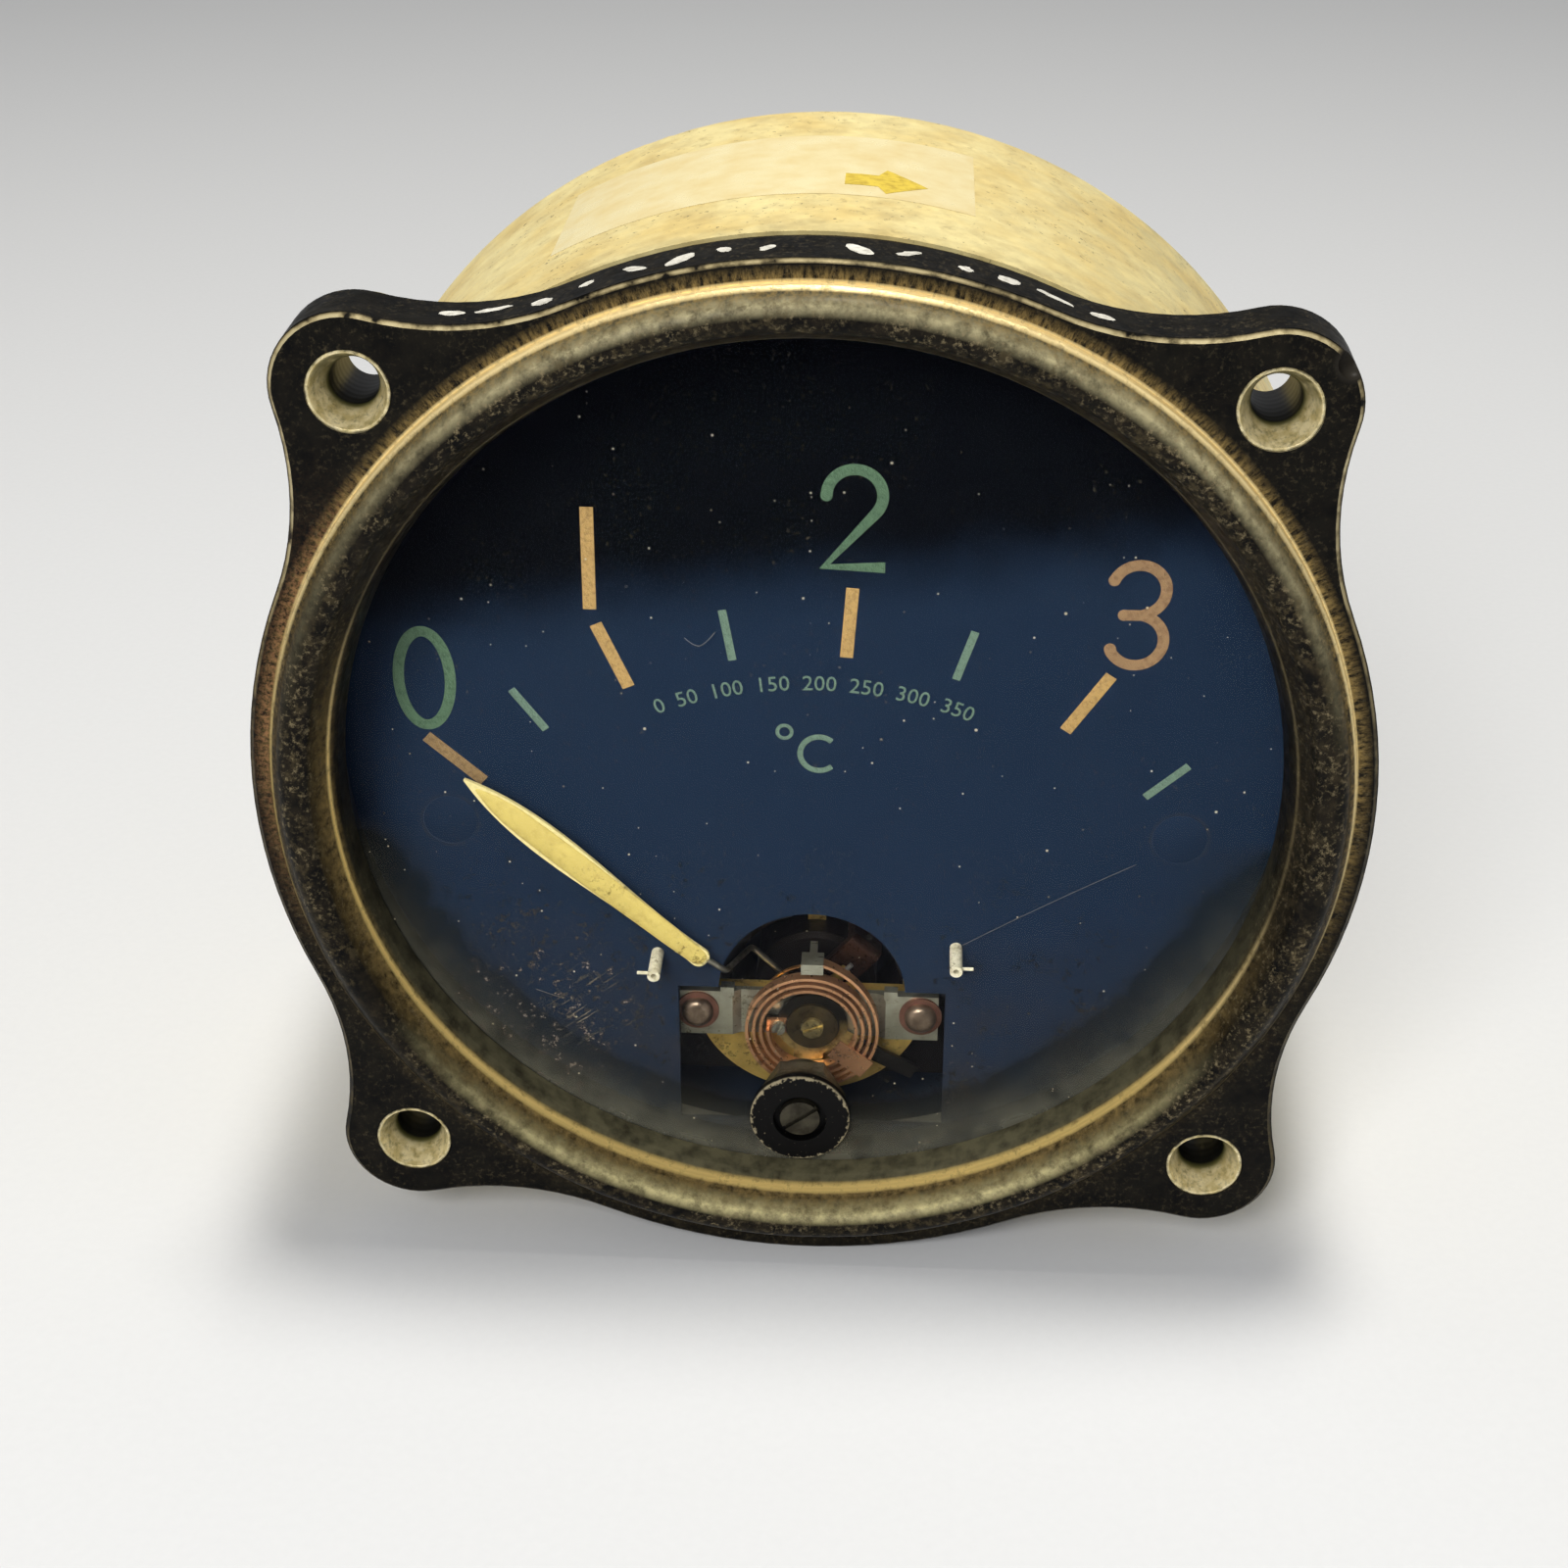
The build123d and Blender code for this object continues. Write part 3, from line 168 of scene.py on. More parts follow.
def wornEnamel(look):
    material, tree, shader = newFinish("worn black enamel on brass")
    place = millimetres(tree)
    flat = millimetres(tree, (1, 0, 1))
    radius = add(tree, "VectorMath", {0: flat}, operation="LENGTH").outputs["Value"]
    axes = add(tree, "SeparateXYZ", {"Vector": place})
    across, depth, height = axes.outputs["X"], axes.outputs["Y"], axes.outputs["Z"]
    raised = add(tree, "MapRange", {"Value": depth, "From Min": look["ringRear"] + 0.4,
                                    "From Max": look["ringRear"]})
    upper = add(tree, "MapRange", {"Value": height, "From Min": -18.0, "From Max": 4.0})
    top = add(tree, "MapRange", {"Value": height, "From Min": 6.0, "From Max": 27.0})
    bottom = add(tree, "MapRange", {"Value": height, "From Min": -19.0, "From Max": -34.0})
    # the lip's painted highlight starts higher up at the left than at the right
    slanting = add(tree, "Math", {0: height, 1: times(tree, across, 0.35)}, operation="ADD")
    lower = add(tree, "MapRange", {"Value": slanting, "From Min": 4.0, "From Max": -16.0})
    # the ring's shoulder (at the top and the sides) and the lip around the glass (at the bottom) are each a fine
    # bright line in a ragged brown-gold halo: rubbed bare, and laid only where the light catches them, as
    # painted highlight
    high = add(tree, "MapRange", {"Value": height, "From Min": -14.0, "From Max": 6.0, "To Min": 0.05})
    fromLeft = add(tree, "MapRange", {"Value": across, "From Min": -38.5, "From Max": -31.0, "To Min": 0.5})
    onShoulder = times(tree, high, fromLeft)
    onLip = add(tree, "MapRange", {"Value": lower, "To Min": 0.06})
    # the halo's fibres run outwards, so their pattern is laid round the ring and stretched along the radius
    around = times(tree, add(tree, "Math", {0: across, 1: height}, operation="ARCTAN2"), look["shoulder"])
    fibres = add(tree, "CombineXYZ", {"X": around, "Y": times(tree, radius, 0.3), "Z": depth})
    ragged = blotches(tree, fibres, 0.45, 0.42, 0.6, 8, 0.8)
    thin, wide = look["shoulderHalf"]
    shoulderWidth = add(tree, "MapRange", {"Value": top, "To Min": thin, "To Max": wide})
    shoulder = times(tree, ringBand(tree, radius, look["shoulder"], shoulderWidth), onShoulder)
    thin, wide = look["lipHalf"]
    lipWidth = add(tree, "MapRange", {"Value": height, "From Min": -8.0, "From Max": -34.0,
                                      "To Min": thin, "To Max": wide})
    lip = times(tree, ringBand(tree, radius, look["lip"], lipWidth), onLip)
    broken = blotches(tree, fibres, 0.8, 0.22, 0.5, 7, 0.75)
    lines = times(tree, eitherOf(tree, shoulder, lip), broken, raised, 1.5)
    shoulderHalo = times(tree, ringBand(tree, radius, look["shoulder"] + 0.15, look["haloHalf"][0]),
                         onShoulder, ragged)
    dusty = blotches(tree, place, 0.7, 0.3, 0.64, 6, 0.7)
    lipHalo = times(tree, ringBand(tree, radius, look["lip"] + 0.15, look["haloHalf"][1]), onLip, dusty, 0.7)
    halo = times(tree, eitherOf(tree, shoulderHalo, lipHalo), raised, 1.3)
    # rub marks along the front edge of the flange, with painted highlight: mostly at the top, where the light
    # catches the edge
    facing = add(tree, "SeparateXYZ", {"Vector": add(tree, "NewGeometry").outputs["Normal"]}).outputs["Y"]
    turnedAway = add(tree, "MapRange", {"Value": facing, "From Min": -0.9, "From Max": -0.6})
    deepest, full = look["rubDepth"]
    nearFront = add(tree, "MapRange", {"Value": depth, "From Min": deepest, "From Max": full})
    flange = add(tree, "MapRange", {"Value": radius, "From Min": look["flange"] - 0.1,
                                    "From Max": look["flange"] + 0.1})
    mostlyTop = add(tree, "MapRange", {"Value": height, "From Min": 2.0, "From Max": 26.0, "To Min": 0.12})
    rim = times(tree, turnedAway, nearFront, flange, mostlyTop, blotches(tree, place, 1.8, 0.36, 0.56, 5))
    # the narrow left side of the flange has lost most of its paint, down to speckled copper
    fromMiddle = add(tree, "Math", {0: height}, operation="ABSOLUTE")
    limits = [(across, -27.0, -33.0, 0.0), (radius, 39.7, 39.9, 0.0), (radius, 41.0, 39.9, 0.08),
              (fromMiddle, 27.0, 17.0, 0.0), (height, -14.0, 5.0, 0.05)]
    leftSide = times(tree, blotches(tree, place, 0.34, 0.44, 0.58, 7, 0.75), 0.85)
    for value, start, end, least in limits:
        limit = add(tree, "MapRange", {"Value": value, "From Min": start, "From Max": end, "To Min": least})
        leftSide = times(tree, leftSide, limit)
    # clouds of brown lie in the paint, thickest on the slopes of the ring, with drifts of pale specks
    ringArea = ringBand(tree, radius, 37.9, 3.6)
    clouds = blotches(tree, place, 2.8, 0.4, 0.64, 5)
    stained = blotches(tree, place, 1.5, 0.42, 0.62, 6, 0.65)
    browned = times(tree, stained, eitherOf(tree, ringArea, 0.3), 0.65)
    # painted highlights: pale bands on the ring's crown, near the top and near the bottom, stand in for the
    # overhead light's shine; mottled, and dimmer at the left
    mottle = blotches(tree, place, 1.2, 0.3, 0.6, 6, 0.7)
    uneven = add(tree, "MapRange", {"Value": mottle, "To Min": 0.2, "To Max": 0.95})
    dimLeft = add(tree, "MapRange", {"Value": across, "From Min": -33.0, "From Max": -16.0, "To Min": 0.4})
    highSheen = times(tree, ringBand(tree, radius, look["upperSheen"], look["sheenHalf"][0]),
                      top, uneven, raised, dimLeft)
    lowSheen = times(tree, ringBand(tree, radius, look["lowerSheen"], look["sheenHalf"][1]),
                     bottom, uneven, raised)
    here = blotches(tree, place, 5.0, 0.36, 0.6, 4)
    patches = times(tree, blotches(tree, place, 1.0, 0.5, 0.6, 9, 0.75), here, ringArea, 0.8)
    drift = blotches(tree, place, 3.6, 0.4, 0.6, 5, 0.65)
    specks = times(tree, blotches(tree, place, 0.45, 0.52, 0.64, 8, 0.76),
                   drift, eitherOf(tree, ringArea, 0.2), 0.9)
    # dust has settled on the lower half of the opening's wall
    outer, inner = look["openingWall"]
    wall = times(tree, add(tree, "MapRange", {"Value": radius, "From Min": outer, "From Max": inner}),
                 add(tree, "MapRange", {"Value": height, "From Min": -2.0, "From Max": -31.0}),
                 blotches(tree, place, 1.4, 0.2, 0.6, 6), 0.9)
    away = add(tree, "VectorMath", {0: place, 1: look["chipPlace"]}, operation="DISTANCE").outputs["Value"]
    outer, inner = look["chipSize"]
    chip = add(tree, "MapRange", {"Value": away, "From Min": outer, "From Max": inner})
    paint = layered(tree, look, "paint", cloud=clouds, brown=browned, sheen=highSheen, lowSheen=lowSheen,
                    patch=patches, speck=specks, halo=halo, wallDust=wall)
    copper = layered(tree, look, "oldCopper", copper=upper)
    paint = add(tree, "MixRGB", {0: leftSide, 1: paint, 2: copper})
    paint = layered(tree, look, paint, chip=chip)
    metal = layered(tree, look, "bareMetal", lipGold=lower, rimMetal=rim)
    bare = eitherOf(tree, lines, rim)
    bare = times(tree, bare, add(tree, "Math", {0: 1.0, 1: chip}, operation="SUBTRACT"))
    colour = add(tree, "MixRGB", {0: bare, 1: paint, 2: metal})
    metallic = eitherOf(tree, times(tree, bare, 0.4), times(tree, leftSide, 0.4))
    sheenPatches = blotches(tree, place, 1.1, 0.3, 0.7, 5)
    roughness = add(tree, "MapRange", {"Value": sheenPatches, "To Min": look["paintRoughness"],
                                       "To Max": look["paintRoughness"] + 0.18})
    roughness = add(tree, "MixRGB", {0: bare, 1: roughness, 2: [look["metalRoughness"]] * 3 + [1]})
    grit = add(tree, "TexNoise", {"Vector": place, "Scale": 3.0, "Detail": 6.0})
    dents = add(tree, "Bump", {"Strength": 0.35, "Distance": 0.00005, "Height": grit})
    edge = {"Strength": 0.5, "Distance": 0.00004, "Height": bare, "Normal": dents}
    edge = add(tree, "Bump", edge, invert=True)
    feed(tree, shader, {"Base Color": colour, "Metallic": metallic, "Roughness": roughness, "Normal": edge,
                        "Specular IOR Level": look["specular"]})
    return material


# straw gold passivated aluminium: satin, with tea-brown stains and smudges, grimy at the right and along the
# flange;
# its inside coloured dark navy as painted shade
caseLook = {
    "straw": "f3da90", "pale": "ffefae", "tea": "c4ac73", "smudge": "9c8859", "grime": "7b7355",
    "edgeDirt": "8d7d52", "grey": "6b6248", "inside": "1b2636",
    "innerRadius": 40.7, "innerEnd": 40.35, "innerSoft": 0.05, "roughness": 0.42,
}


def passivatedGold(look):
    material, tree, shader = newFinish("straw gold passivated aluminium")
    place = millimetres(tree)
    radius = add(tree, "VectorMath", {0: millimetres(tree, (1, 0, 1))}, operation="LENGTH").outputs["Value"]
    axes = add(tree, "SeparateXYZ", {"Vector": place})
    pale = blotches(tree, place, 6.0, 0.36, 0.62, 6)
    drawn = add(tree, "TexNoise", {"Vector": millimetres(tree, (0.3, 1.0, 0.3)), "Scale": 1.1, "Detail": 4.0})
    drawnMask = add(tree, "MapRange", {"Value": drawn, "From Min": 0.5, "From Max": 0.75, "To Max": 0.14})
    colour = layered(tree, look, "straw", pale=pale, tea=drawnMask)
    stain = times(tree, blotches(tree, place, 3.4, 0.48, 0.68, 7, 0.68), 0.4)
    handled = blotches(tree, place, 9.0, 0.46, 0.62, 4)
    smudge = times(tree, blotches(tree, place, 1.4, 0.57, 0.66, 7, 0.7), handled, 0.5)
    right = add(tree, "MapRange", {"Value": axes.outputs["X"], "From Min": 14.0, "From Max": 36.0})
    grime = times(tree, right, blotches(tree, place, 3.0, 0.42, 0.62, 6, 0.65), 0.35)
    front = add(tree, "MapRange", {"Value": axes.outputs["Y"], "From Min": 9.6, "From Max": 6.6})
    edgeDirt = times(tree, front, blotches(tree, place, 1.8, 0.34, 0.64, 6), 0.35)
    spots = times(tree, blotches(tree, place, 0.45, 0.64, 0.7, 3),
                  blotches(tree, place, 8.0, 0.42, 0.6), 0.85)
    # painted shade: the inside of the case, behind the dial, is coloured dark navy
    bore, end, soft = look["innerRadius"], look["innerEnd"], look["innerSoft"]
    depth = axes.outputs["Y"]
    inside = times(tree, add(tree, "MapRange", {"Value": radius, "From Min": bore + soft, "From Max": bore}),
                   add(tree, "MapRange", {"Value": depth, "From Min": end + soft, "From Max": end}))
    colour = layered(tree, look, colour, tea=stain, smudge=smudge, grime=grime, edgeDirt=edgeDirt,
                     grey=spots, inside=inside)
    roughness = add(tree, "MapRange", {"Value": blotches(tree, place, 1.2, 0.3, 0.7, 6),
                                       "To Min": look["roughness"] - 0.07,
                                       "To Max": look["roughness"] + 0.14})
    metallic = add(tree, "MapRange", {"Value": inside, "To Min": 0.3, "To Max": 0.0})
    grain = add(tree, "TexNoise", {"Vector": place, "Scale": 1.6, "Detail": 6.0})
    relief = add(tree, "Bump", {"Strength": 0.22, "Distance": 0.00004, "Height": grain})
    feed(tree, shader, {"Base Color": colour, "Metallic": metallic, "Roughness": roughness, "Normal": relief})
    return material


# plated steel inserts: cream-gold where the countersink is worn, grimy at its rim, olive down the hole; painted
# shade darkens the upper half of each countersink and the deep end of the hole
insertLook = {"plate": "d6c48a", "scuff": "fbecbc", "olive": "5b5930", "dark": "0d0d0a", "hole": 31.4325}


def wornInsert(look):
    material, tree, shader = newFinish("worn plated steel")
    place = millimetres(tree)
    folded = add(tree, "VectorMath", {0: place}, operation="ABSOLUTE")
    centred = add(tree, "VectorMath", {0: folded, 1: (look["hole"], 0, look["hole"])}, operation="SUBTRACT")
    flat = add(tree, "VectorMath", {0: centred, 1: (1, 0, 1)}, operation="MULTIPLY")
    reach = add(tree, "VectorMath", {0: flat}, operation="LENGTH").outputs["Value"]
    axes = add(tree, "SeparateXYZ", {"Vector": place})
    depth = axes.outputs["Y"]
    scuffs = blotches(tree, place, 0.8, 0.38, 0.62, 5)
    grime = times(tree, blotches(tree, place, 0.5, 0.5, 0.66, 7, 0.7), 0.6)
    ring = times(tree, ringBand(tree, reach, 2.93, 0.2), blotches(tree, place, 0.7, 0.3, 0.6), 0.9)
    colour = layered(tree, look, "plate", scuff=scuffs, olive=grime, dark=ring)
    # painted shade: the upper half of each countersink, turned away from the light, is darkened with olive
    side = add(tree, "Math", {0: axes.outputs["Z"]}, operation="SIGN")
    above = times(tree, side, add(tree, "SeparateXYZ", {"Vector": centred}).outputs["Z"])
    hung = times(tree, add(tree, "MapRange", {"Value": above, "From Min": -0.8, "From Max": 1.8}),
                 add(tree, "MapRange", {"Value": depth, "From Min": 0.12, "From Max": 0.3}),
                 blotches(tree, place, 0.7, 0.2, 0.5, 5), 0.75)
    colour = layered(tree, look, colour, olive=hung)
    inside = times(tree, add(tree, "MapRange", {"Value": reach, "From Min": 2.1, "From Max": 1.85}),
                   add(tree, "MapRange", {"Value": depth, "From Min": 1.2, "From Max": 2.2}))
    # painted shade: deep in the bore the colour turns near black
    deep = add(tree, "MapRange", {"Value": depth, "From Min": 2.0, "From Max": 2.6})
    colour = layered(tree, look, colour, olive=inside, dark=times(tree, inside, deep))
    metallic = add(tree, "MapRange", {"Value": inside, "To Min": 0.35, "To Max": 0.1})
    along = millimetres(tree, (0, 1, 0))
    threads = add(tree, "TexWave", {"Vector": along, "Scale": 0.4}, bands_direction="Y")
    relief = add(tree, "Bump", {"Strength": 0.06, "Distance": 0.0002, "Height": times(tree, threads, inside)})
    feed(tree, shader, {"Base Color": colour, "Metallic": metallic, "Roughness": 0.4, "Normal": relief})
    return material


# cover glass: clear, deep blue in its shine, with crumbs of dust, brown flecks low at the left
# and a haze near the lip
glassLook = {
    "clear": "f6f7f6", "dust": "cbbf9f", "fleck": "8f8372", "haze": "8c8a77", "shine": "141b2e",
    "flecksAt": (-20.5, -20.5), "scratchesAt": (-17.6, -20.6), "lean": 38, "frontFace": 4.7,
    "crumbs": [(2.3, 0.1, 0.12), (1.3, 0.06, 0.05), (6.1, 0.14, 0.2)],
    "fleckShare": 0.9, "hairShare": 0.3, "hazeShare": 0.55,
}


def crumbs(tree, face, size, reach, share):
    # round crumbs on the face, at most one to a cell of that size, each of its own strength
    cells = add(tree, "TexVoronoi", {"Vector": face, "Scale": 1 / size}, voronoi_dimensions="2D")
    chance = add(tree, "SeparateColor", {"Color": cells.outputs["Color"]}).outputs["Red"]
    chosen = add(tree, "MapRange", {"Value": chance, "From Min": 1 - share, "From Max": 1.0, "To Min": 0.0})
    edge = reach / size
    away = cells.outputs["Distance"]
    dot = add(tree, "MapRange", {"Value": away, "From Min": edge, "From Max": 0.4 * edge})
    return times(tree, dot, chosen)


def nearSpot(tree, face, spot, outer, inner):
    # 1 around a spot of the face, fading out towards the outer reach
    away = add(tree, "VectorMath", {0: face, 1: (spot[0], spot[1], 0)}, operation="DISTANCE").outputs["Value"]
    return add(tree, "MapRange", {"Value": away, "From Min": outer, "From Max": inner})


def dustyGlass(look):
    material, tree, shader = newFinish("dusty clear glass")
    place = millimetres(tree)
    radius = add(tree, "VectorMath", {0: millimetres(tree, (1, 0, 1))}, operation="LENGTH").outputs["Value"]
    axes = add(tree, "SeparateXYZ", {"Vector": place})
    depth, height = axes.outputs["Y"], axes.outputs["Z"]
    face = add(tree, "CombineXYZ", {"X": axes.outputs["X"], "Y": height})
    front = look["frontFace"]
    frontSide = add(tree, "MapRange", {"Value": depth, "From Min": front + 0.1, "From Max": front})
    dots = eitherOf(tree, *[crumbs(tree, face, *crumb) for crumb in look["crumbs"]])
    # brown flecks lie thickest at the lower left
    flecks = blotches(tree, place, 0.6, 0.54, 0.63, 9, 0.82)
    thickest = nearSpot(tree, face, look["flecksAt"], 11.0, 4.0)
    drift = times(tree, blotches(tree, place, 1.8, 0.42, 0.6, 6, 0.7), thickest)
    lowDown = add(tree, "MapRange", {"Value": height, "From Min": -4.0, "From Max": -34.0})
    rest = times(tree, blotches(tree, place, 5.0, 0.48, 0.66, 4), lowDown, 0.3)
    flecks = times(tree, flecks, eitherOf(tree, drift, rest), look["fleckShare"])
    # scratches run up to the right, beside the left stop
    lanes = millimetres(tree, (1, 1, 1), (0, math.radians(look["lean"]), 0))
    combed = add(tree, "VectorMath", {0: lanes, 1: (0.22, 1, 5.0)}, operation="MULTIPLY")
    hairs = add(tree, "TexNoise", {"Vector": combed, "Scale": 1.4, "Detail": 3.0})
    hairs = add(tree, "MapRange", {"Value": hairs, "From Min": 0.62, "From Max": 0.68})
    hairs = times(tree, hairs, nearSpot(tree, face, look["scratchesAt"], 4.6, 2.0), look["hairShare"])
    rimHaze = add(tree, "MapRange", {"Value": radius, "From Min": 28.5, "From Max": 35.2})
    lowHaze = add(tree, "MapRange", {"Value": height, "From Min": -4.0, "From Max": -31.0})
    cloudy = blotches(tree, place, 2.4, 0.05, 0.6, 5)
    haze = times(tree, rimHaze, rimHaze, lowHaze, cloudy, look["hazeShare"], frontSide)
    dust = times(tree, eitherOf(tree, dots, hairs), frontSide)
    flecks = times(tree, flecks, frontSide)
    cover = eitherOf(tree, dust, flecks, haze)
    through = add(tree, "Math", {0: 1.0, 1: cover}, operation="SUBTRACT")
    someFlecks = add(tree, "MapRange", {"Value": flecks, "From Max": 0.1})
    someDust = add(tree, "MapRange", {"Value": dust, "From Max": 0.1})
    covered = add(tree, "MapRange", {"Value": cover, "From Max": 0.02})
    soil = layered(tree, look, "haze", fleck=someFlecks, dust=someDust)
    colour = add(tree, "MixRGB", {0: covered, 1: linear(look["clear"]), 2: soil})
    roughness = add(tree, "MapRange", {"Value": cover, "To Min": 0.015, "To Max": 0.6})
    feed(tree, shader, {"Base Color": colour, "Transmission Weight": through, "Roughness": roughness,
                        "IOR": 1.5, "Specular Tint": linear(look["shine"])})
    # lamps shine straight through to the dial
    bare = add(tree, "BsdfTransparent")
    shadow = add(tree, "LightPath").outputs["Is Shadow Ray"]
    both = add(tree, "MixShader", {0: shadow, 1: shader, 2: bare})
    tree.links.new(both.outputs[0], tree.nodes["Material Output"].inputs["Surface"])
    return material


# dial enamel: matt black, with a painted reflection of deep blue below a soft slanting edge, dusty low down,
# with its two screws just showing
dialLook = {"black": "020408", "blue": "1a283c", "brown": "383022", "grain": "77705c", "ring": "3c3d3c",
            "screw": (28.4, -6.9), "screwRadius": 2.25, "slant": 7.5, "edge": (18.8, 11.2), "roughness": 0.66}


def dialEnamel(look):
    material, tree, shader = newFinish("matt blue-black dial enamel")
    place = millimetres(tree)
    # painted reflection: below a soft slanting edge the enamel is coloured deep blue, as the glass shows it
    # there
    slanted = millimetres(tree, (1, 1, 1), (0, math.radians(look["slant"]), 0))
    slope = add(tree, "SeparateXYZ", {"Vector": slanted}).outputs["Z"]
    wavy = times(tree, blotches(tree, place, 4.0, 0.2, 0.8, 2), 1.6)
    edge = add(tree, "Math", {0: slope, 1: wavy}, operation="ADD")
    start, end = look["edge"]
    edge = {"Value": edge, "From Min": start, "From Max": end}
    lower = add(tree, "MapRange", edge, interpolation_type="SMOOTHSTEP")
    axes = add(tree, "SeparateXYZ", {"Vector": place})
    across = add(tree, "Math", {0: axes.outputs["X"]}, operation="ABSOLUTE")
    face = add(tree, "CombineXYZ", {"X": across, "Y": axes.outputs["Z"]})
    screw = (look["screw"][0], look["screw"][1], 0)
    away = add(tree, "VectorMath", {0: face, 1: screw}, operation="DISTANCE").outputs["Value"]
    broken = blotches(tree, place, 1.2, 0.35, 0.65)
    ring = times(tree, ringBand(tree, away, look["screwRadius"], 0.22), broken, 0.5)
    low = add(tree, "MapRange", {"Value": axes.outputs["Z"], "From Min": -14.0, "From Max": -36.0})
    drift = times(tree, blotches(tree, place, 5.0, 0.3, 0.7, 5), low, 0.6)
    dusty = blotches(tree, place, 6.0, 0.42, 0.62)
    grains = times(tree, blotches(tree, place, 0.35, 0.62, 0.74, 3), dusty, 0.3)
    colour = layered(tree, look, "black", blue=lower, ring=ring, brown=drift, grain=grains)
    roughness = add(tree, "MapRange", {"Value": blotches(tree, place, 2.0, 0.3, 0.7, 3),
                                       "To Min": look["roughness"] - 0.05,
                                       "To Max": look["roughness"] + 0.12})
    feed(tree, shader, {"Base Color": colour, "Roughness": roughness, "Specular IOR Level": 0.05})
    return material


# aged paint of the markings, the pointer and the stops: chalky, a little uneven, darker in its pits
paintLooks = {
    "aged ochre radium paint": {"colour": "bb9759", "pit": "8a6f43", "grain": 0.35},
    "browned ochre radium paint": {"colour": "91754a", "pit": "66513a", "grain": 0.35},
    "aged green radium paint": {"colour": "4f6c50", "pit": "405a44", "grain": 0.4},
    "aged tan radium paint": {"colour": "977852", "pit": "76583e", "grain": 0.4},
    "faded grey-green scale paint": {"colour": "667f6c", "pit": "526759", "grain": 0.35},
    "cream luminous paint": {"colour": "d3be68", "pit": "bea75a", "grain": 0.8},
    "ivory lacquer": {"colour": "ece6cd", "pit": "b5ab86", "grain": 0.45},
    "white rim paint": {"colour": "eceae0", "pit": "9a968a", "grain": 0.5},
    "grey lint": {"colour": "6f6c62", "pit": "4a483f", "grain": 0.4},
    "yellow marking paint": {"colour": "e6cb48", "pit": "a98d2c", "grain": 0.6},
}


def chalkyPaint(name):
    look = paintLooks[name]
    material, tree, shader = newFinish(name)
    place = millimetres(tree)
    pits = blotches(tree, place, look["grain"], 0.45, 0.7, 4)
    cloud = blotches(tree, place, 2.4, 0.3, 0.7, 4)
    colour = layered(tree, look, "colour", pit=times(tree, pits, 0.75))
    colour = layered(tree, look, colour, pit=times(tree, cloud, 0.35))
    relief = add(tree, "Bump", {"Strength": 0.6, "Distance": 0.00004, "Height": pits}, invert=True)
    roughness = add(tree, "MapRange", {"Value": pits, "To Min": 0.55, "To Max": 0.82})
    feed(tree, shader, {"Base Color": colour, "Roughness": roughness, "Normal": relief})
    return material


# metals of the movement and the back: each with its own cut marks, tarnish and shine, and a comb where
# the marks run one way
metalLooks = {
    "turned brass": {"colour": "ebc86d", "tarnish": "9a7436", "share": 0.45, "rough": 0.34,
                     "comb": (1, 6, 1), "size": 0.7},
    "plated steel": {"colour": "b5b2a6", "tarnish": "6b6253", "share": 0.6, "rough": 0.34, "size": 0.5},
    "dull screw steel": {"colour": "4d493d", "tarnish": "28251e", "share": 0.8, "rough": 0.45, "size": 0.4},
    "dark blued steel": {"colour": "6e6858", "tarnish": "352f26", "share": 0.7, "rough": 0.36, "size": 0.6},
    "browned screw steel": {"colour": "8f7c69", "tarnish": "46382d", "share": 0.7, "rough": 0.34, "size": 0.4},
    "browned brass": {"colour": "b8a670", "tarnish": "5a4d30", "share": 0.6, "rough": 0.32, "size": 0.4},
    "dark blued brass": {"colour": "5f5238", "tarnish": "352b1c", "share": 0.6, "rough": 0.34, "size": 0.4},
    "browned copper washer": {"colour": "8a6152", "tarnish": "5c3f30", "share": 0.6, "rough": 0.42, "size": 0.5},
    "copper bimetal strip": {"colour": "d6a176", "tarnish": "94694a", "share": 0.4, "rough": 0.3, "size": 0.9},
    "brushed nickel silver": {"colour": "aeac99", "tarnish": "6e6b5b", "share": 0.45, "rough": 0.32,
                              "comb": (0.15, 1, 4), "size": 0.6},
    "machined aluminium": {"colour": "b9b9b4", "tarnish": "87867f", "share": 0.4, "rough": 0.38,
                           "comb": (0.2, 1, 3), "size": 0.5},
    "dark spring steel": {"colour": "5d5a55", "tarnish": "37342f", "share": 0.5, "rough": 0.34,
                          "comb": (1, 3, 1), "size": 0.6},
    "enamelled copper wire": {"colour": "4e362c", "tarnish": "2c1e18", "share": 0.4, "rough": 0.28,
                              "comb": (1, 8, 1), "size": 0.5},
    "phosphor bronze": {"colour": "bd8a55", "tarnish": "7b5533", "share": 0.4, "rough": 0.28, "size": 0.4},
    "soft iron": {"colour": "241f1c", "tarnish": "161311", "share": 0.7, "rough": 0.5,
                  "comb": (1, 2, 1), "size": 0.9},
    "cast magnet alloy": {"colour": "75736f", "tarnish": "4c4842", "share": 0.7, "rough": 0.6, "size": 1.3},
}


